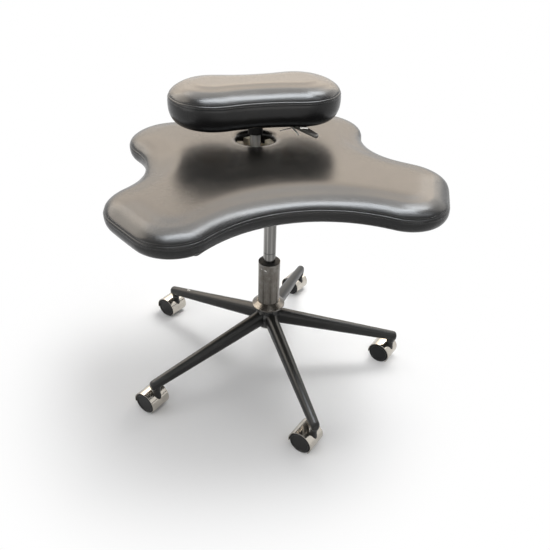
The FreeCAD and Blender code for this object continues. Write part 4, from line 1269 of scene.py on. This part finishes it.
@dataclass
class Seat:
    """The small waisted upper seat with its plate and lever.

    Each bright wire on the lever holds its name, the points along its middle and its radius. The clip stands where
    the paddle's lit edge shows, a painted highlight, and the near-white colour of both paints a glint.
    """

    end_x: float = 0.094
    end_r: float = 0.0965
    front_notch: float = 0.401
    back_notch: float = 0.457
    low: tuple[float, float] = (0.027, 0.036)
    high: tuple[float, float] = (0.044, 0.030)
    crown: tuple[float, float] = (0.066, 0.003)
    plate: float = 0.003
    socket_r: float = 0.0175
    socket_bead: float = 0.0022
    socket_gap: tuple[float, float] = (-25.0, 25.0)
    glint_wires: tuple[tuple[str, tuple[Point, ...], float], ...] = (
        ("release_glint_clip", ((0.0745, 0.1475, 0.5555), (0.0776, 0.1166, 0.5530), (0.0815, 0.0861, 0.5490)), 0.0018),
        ("release_wire", ((0.0454, 0.1079, 0.5520), (0.0600, 0.1118, 0.5532), (0.0776, 0.1166, 0.5540)), 0.0011),
    )
    # The bright tab on the paddle is a painted highlight of the paddle's lit root.
    glint_tab_ends: tuple[tuple[float, float], ...] = ((0.0915, 0.1085), (0.1085, 0.1035))
    glint_tab_z: tuple[float, float] = (0.5530, 0.5568)
    glint_tab_thick: float = 0.0010
    glint_tab_lean: float = 0.1
    glint_tab_edge: float = 0.0004
    wire_sides: int = 8

    def build(self) -> None:
        """Make the pad, the weld under it, and the near-white wires and tab on the lever, which paint its highlights.
        """
        discs = ((self.end_x, POST_Y, self.end_r), (-self.end_x, POST_Y, self.end_r))
        low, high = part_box("seat_cushion")
        pad = Pad("seat_pad", "seat_cushion", "seat", LobedOutline(discs, (self.back_notch, self.front_notch)),
                  Look.SEAT_LEATHER, foot=low.z, top=high.z - self.crown[1], low=self.low, high=self.high,
                  crown=self.crown, seam_z=SEAT_SEAM_Z, voxel=0.004, hem_inset=0.030, hem_width=0.024,
                  staple_pitch=0.020)
        pad.build()
        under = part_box("seat_board")[0].z - self.plate
        WeldBead("seat_socket_weld", "seat", (0.0, POST_Y, under), self.socket_r, self.socket_bead,
                 self.socket_gap).build()
        for name, route, radius in self.glint_wires:
            self._wire(name, [Vector(point) for point in route], radius)
        self._glint_tab()

    def _glint_tab(self) -> None:
        """Make the bright tab on the lever's paddle, a painted highlight where the paddle's root catches the light.
        """
        (ax, ay), (bx, by) = self.glint_tab_ends
        low, high = self.glint_tab_z
        lean = (high - low) * self.glint_tab_lean
        front = [(ax, ay, low), (bx, by, low), (bx, by + lean, high), (ax, ay + lean, high)]
        points = front + [(x, y + self.glint_tab_thick, z) for x, y, z in front]
        faces: Faces = [(0, 1, 2, 3), (7, 6, 5, 4)]
        faces += [(k, k + 4, (k + 1) % 4 + 4, (k + 1) % 4) for k in range(4)]
        tab = new_piece("release_glint_tab", points, faces, Look.GLINT_PLATE, smooth=False)
        edge = tab.modifiers.new("edge", "BEVEL")
        edge.width = self.glint_tab_edge
        edge.segments = 2
        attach(tab, "seat_release")
        log.info("laid %s", tab.name)

    def _wire(self, name: str, route: Sequence[Vector], radius: float) -> None:
        """Make a bent wire on the seat's lever, whose near-white colour paints a highlight.

        Args:
            name: Name of the piece.
            route: Points along its middle.
            radius: Half its thickness.
        """
        points: list[Vector] = []
        faces: Faces = []
        rings = []
        for index, spot in enumerate(route):
            way = (route[min(index + 1, len(route) - 1)] - route[max(index - 1, 0)]).normalized()
            across = way.cross(UP).normalized()
            rings.append((spot, across, across.cross(way), radius))
        add_tube(points, faces, rings, self.wire_sides)
        wire = new_piece(name, points, faces, Look.GLINT_WIRE)
        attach(wire, "seat_release")
        log.info("bent %s", name)

    def dress(self) -> None:
        """Finish the seat's CAD nodes."""
        dress(["seat_board"], Look.PLY)
        dress(["seat_plate"], Look.BLACK_COAT)
        dress(["seat_bolts", "seat_lever", "seat_lever_pin"], Look.ZINC)
        dress(["seat_lever_grip"], Look.LEVER_STEEL)


@dataclass
class Lifts:
    """The two gas lifts."""

    names: tuple[str, ...] = ("column", "post")

    def dress(self) -> None:
        """Finish the lifts' CAD nodes."""
        for name in self.names:
            dress([name + "_tube"], Look.TUBE_COAT)
            dress([name + "_bush"], Look.NYLON)
            dress([name + "_cylinder"], Look.CHROME if name == "column" else Look.POST_CHROME)
            dress([name + "_rod", name + "_thrust_set", name + "_button"], Look.ZINC)


@dataclass
class Base:
    """The five-star base and its castors."""

    legs: int = 5

    def dress(self) -> None:
        """Finish the base's CAD nodes."""
        dress(["base_hub"], Look.BLACK_COAT)
        dress(["base_collar"], Look.TUBE_COAT)
        dress(["castor_stems"], Look.ZINC)
        for number in range(1, self.legs + 1):
            dress([f"leg_{number}"], Look.LEG_COAT)
            castor = f"castor_{number}_"
            dress([castor + "yoke"], Look.NYLON)
            dress([castor + "hood"], Look.NICKEL)
            dress([castor + "axle"], Look.ZINC)
            dress([castor + "wheel_a", castor + "wheel_b"], Look.WHEEL)


class Shows(Enum):
    """What a lamp's light shows in, as the rays that don't see the lamp."""

    ALL = ("visible_camera",)
    SHADE = ("visible_camera", "visible_glossy")
    GLOSS = ("visible_camera", "visible_diffuse")


@dataclass(frozen=True)
class Lamp:
    """A soft rectangular lamp, or a card that only shows as a reflection."""

    name: str
    place: Point
    aim: Point
    size: tuple[float, float]
    power: float
    colour: Colour
    shows: Shows = Shows.GLOSS

    def hang(self) -> bpy.types.Object:
        """Put the lamp into the scene, aimed at its target.

        Returns:
            The lamp.
        """
        data = bpy.data.lights.new(self.name, "AREA")
        data.shape = "RECTANGLE"
        data.size, data.size_y = self.size
        data.energy = self.power
        data.color = self.colour
        lamp = add_object(self.name, data)
        lamp.location = self.place
        lamp.rotation_euler = (Vector(self.aim) - Vector(self.place)).to_track_quat("-Z", "Y").to_euler()
        for ray in self.shows.value:
            setattr(lamp, ray, False)
        return lamp


PALE_BLUE = (0.91, 0.955, 1.0)
PALE_WARM = (1.0, 0.98, 0.95)


@dataclass
class Studio:
    """Floor, light and camera.

    The camera's bearing, pitch and roll are in degrees, and its focal length in pixels of the picture.
    """

    eye: Point = (-0.3014, -1.1361, 1.0259)
    bearing: float = 15.53
    pitch: float = 33.45
    roll: float = 1.79
    focal: float = 610.4
    picture: float = 550.0
    sensor: float = 36.0
    floor_lines: tuple[float, ...] = (-6.0, -1.0, 1.0, 6.0)
    sky_tint: Colour = (0.97, 0.98, 1.0)
    sky_strength: float = 0.20
    lamps: tuple[Lamp, ...] = (
        Lamp("overhead", (0.80, 0.85, 2.3), (0.0, 0.0, 0.2), (1.2, 0.9), 28.0, (1.0, 0.995, 0.985), Shows.SHADE),
        Lamp("left_fill", (-2.3, -0.4, 1.0), (0.0, 0.0, 0.4), (1.4, 1.4), 11.0, PALE_WARM, Shows.ALL),
        Lamp("sky", (0.0, 0.0, 2.8), (0.0, 0.0, 0.0), (9.0, 9.0), 168.0, WHITE, Shows.SHADE),
        Lamp("under", (0.10, 0.175, 0.43), (0.10, 0.175, 0.0), (0.2, 0.2), 0.7, WHITE, Shows.SHADE),
        Lamp("cool_strip", (0.05, -0.12, 2.2), (0.05, -0.10, 0.0), (1.5, 0.50), 64.0, PALE_BLUE),
        Lamp("side_strip", (1.05, 0.35, 2.2), (1.05, 0.37, 0.0), (0.9, 0.46), 24.0, PALE_BLUE),
        Lamp("front_strip", (0.45, -0.72, 2.1), (0.45, -0.60, 0.0), (2.6, 0.5), 16.0, PALE_BLUE),
        Lamp("front_low", (0.0, -2.4, 0.95), (0.0, 0.1, 0.55), (2.6, 0.5), 7.0, PALE_WARM),
        Lamp("ceiling", (0.35, 0.95, 2.6), (0.1, 0.0, 0.5), (3.2, 1.7), 80.0, (1.0, 0.96, 0.91)),
        Lamp("warm_low", (0.45, 2.35, 1.15), (0.0, 0.1, 0.55), (4.0, 0.8), 12.5, (1.0, 0.82, 0.62)),
        Lamp("warm_high", (0.42, 2.30, 2.10), (0.0, 0.0, 0.55), (4.0, 1.2), 55.0, (1.0, 0.83, 0.65)),
        Lamp("right_card", (2.2, 1.0, 1.9), (0.1, 0.1, 0.6), (2.0, 1.7), 20.0, (1.0, 0.95, 0.88)),
        Lamp("left_card", (-1.8, 1.3, 2.0), (-0.2, 0.0, 0.5), (2.2, 1.6), 58.0, (1.0, 0.90, 0.78)),
    )

    def build(self) -> None:
        """Set up the floor, the lamps, the world and the camera."""
        self._floor()
        self._world()
        hung = {lamp.name: lamp.hang() for lamp in self.lamps}
        under = hung["under"]
        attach(under, "platform")
        self._camera()
        bpy.context.scene.view_settings.view_transform = "Standard"

    def _floor(self) -> None:
        """Wide flat pale floor."""
        count = len(self.floor_lines)
        points = [(x, y, 0.0) for y in self.floor_lines for x in self.floor_lines]
        corners = [count * row + column for row in range(count - 1) for column in range(count - 1)]
        faces = [(k, k + 1, k + count + 1, k + count) for k in corners]
        new_piece("studio_floor", points, faces, Look.FLOOR)

    def _world(self) -> None:
        """White to the camera and in reflections, soft grey light to the chair."""
        world = bpy.data.worlds.new("studio")
        bpy.context.scene.world = world
        graph = Graph(world)
        back = graph.tree.nodes["Background"]
        graph.feed(back.inputs["Color"], self.sky_tint)
        graph.feed(back.inputs["Strength"], self.sky_strength)
        graph.whiten(graph.seen(), "Background", "ShaderNodeBackground", "World Output")

    def _camera(self) -> None:
        """Camera at the photograph's angle."""
        data = bpy.data.cameras.new("photo_view")
        data.sensor_fit = "HORIZONTAL"
        data.sensor_width = self.sensor
        data.lens = self.focal * self.sensor / self.picture
        camera = add_object("photo_view", data)
        bearing, pitch, roll = (math.radians(angle) for angle in (self.bearing, self.pitch, self.roll))
        ahead = Vector((math.sin(bearing) * math.cos(pitch), math.cos(bearing) * math.cos(pitch), -math.sin(pitch)))
        right = Vector((math.cos(bearing), -math.sin(bearing), 0.0))
        up = right.cross(ahead)
        tilted_right = right * math.cos(roll) + up * math.sin(roll)
        tilted_up = up * math.cos(roll) - right * math.sin(roll)
        turn = Matrix((tilted_right, tilted_up, -ahead)).transposed()
        camera.matrix_world = Matrix.Translation(self.eye) @ turn.to_4x4()
        bpy.context.scene.camera = camera


def main() -> None:
    """Build and dress the chair, then set up the studio."""
    platform = Platform()
    seat = Seat()
    platform.build()
    seat.build()
    for part in (platform, seat, Lifts(), Base()):
        part.dress()
    Studio().build()


if __name__ == "__main__":
    main()
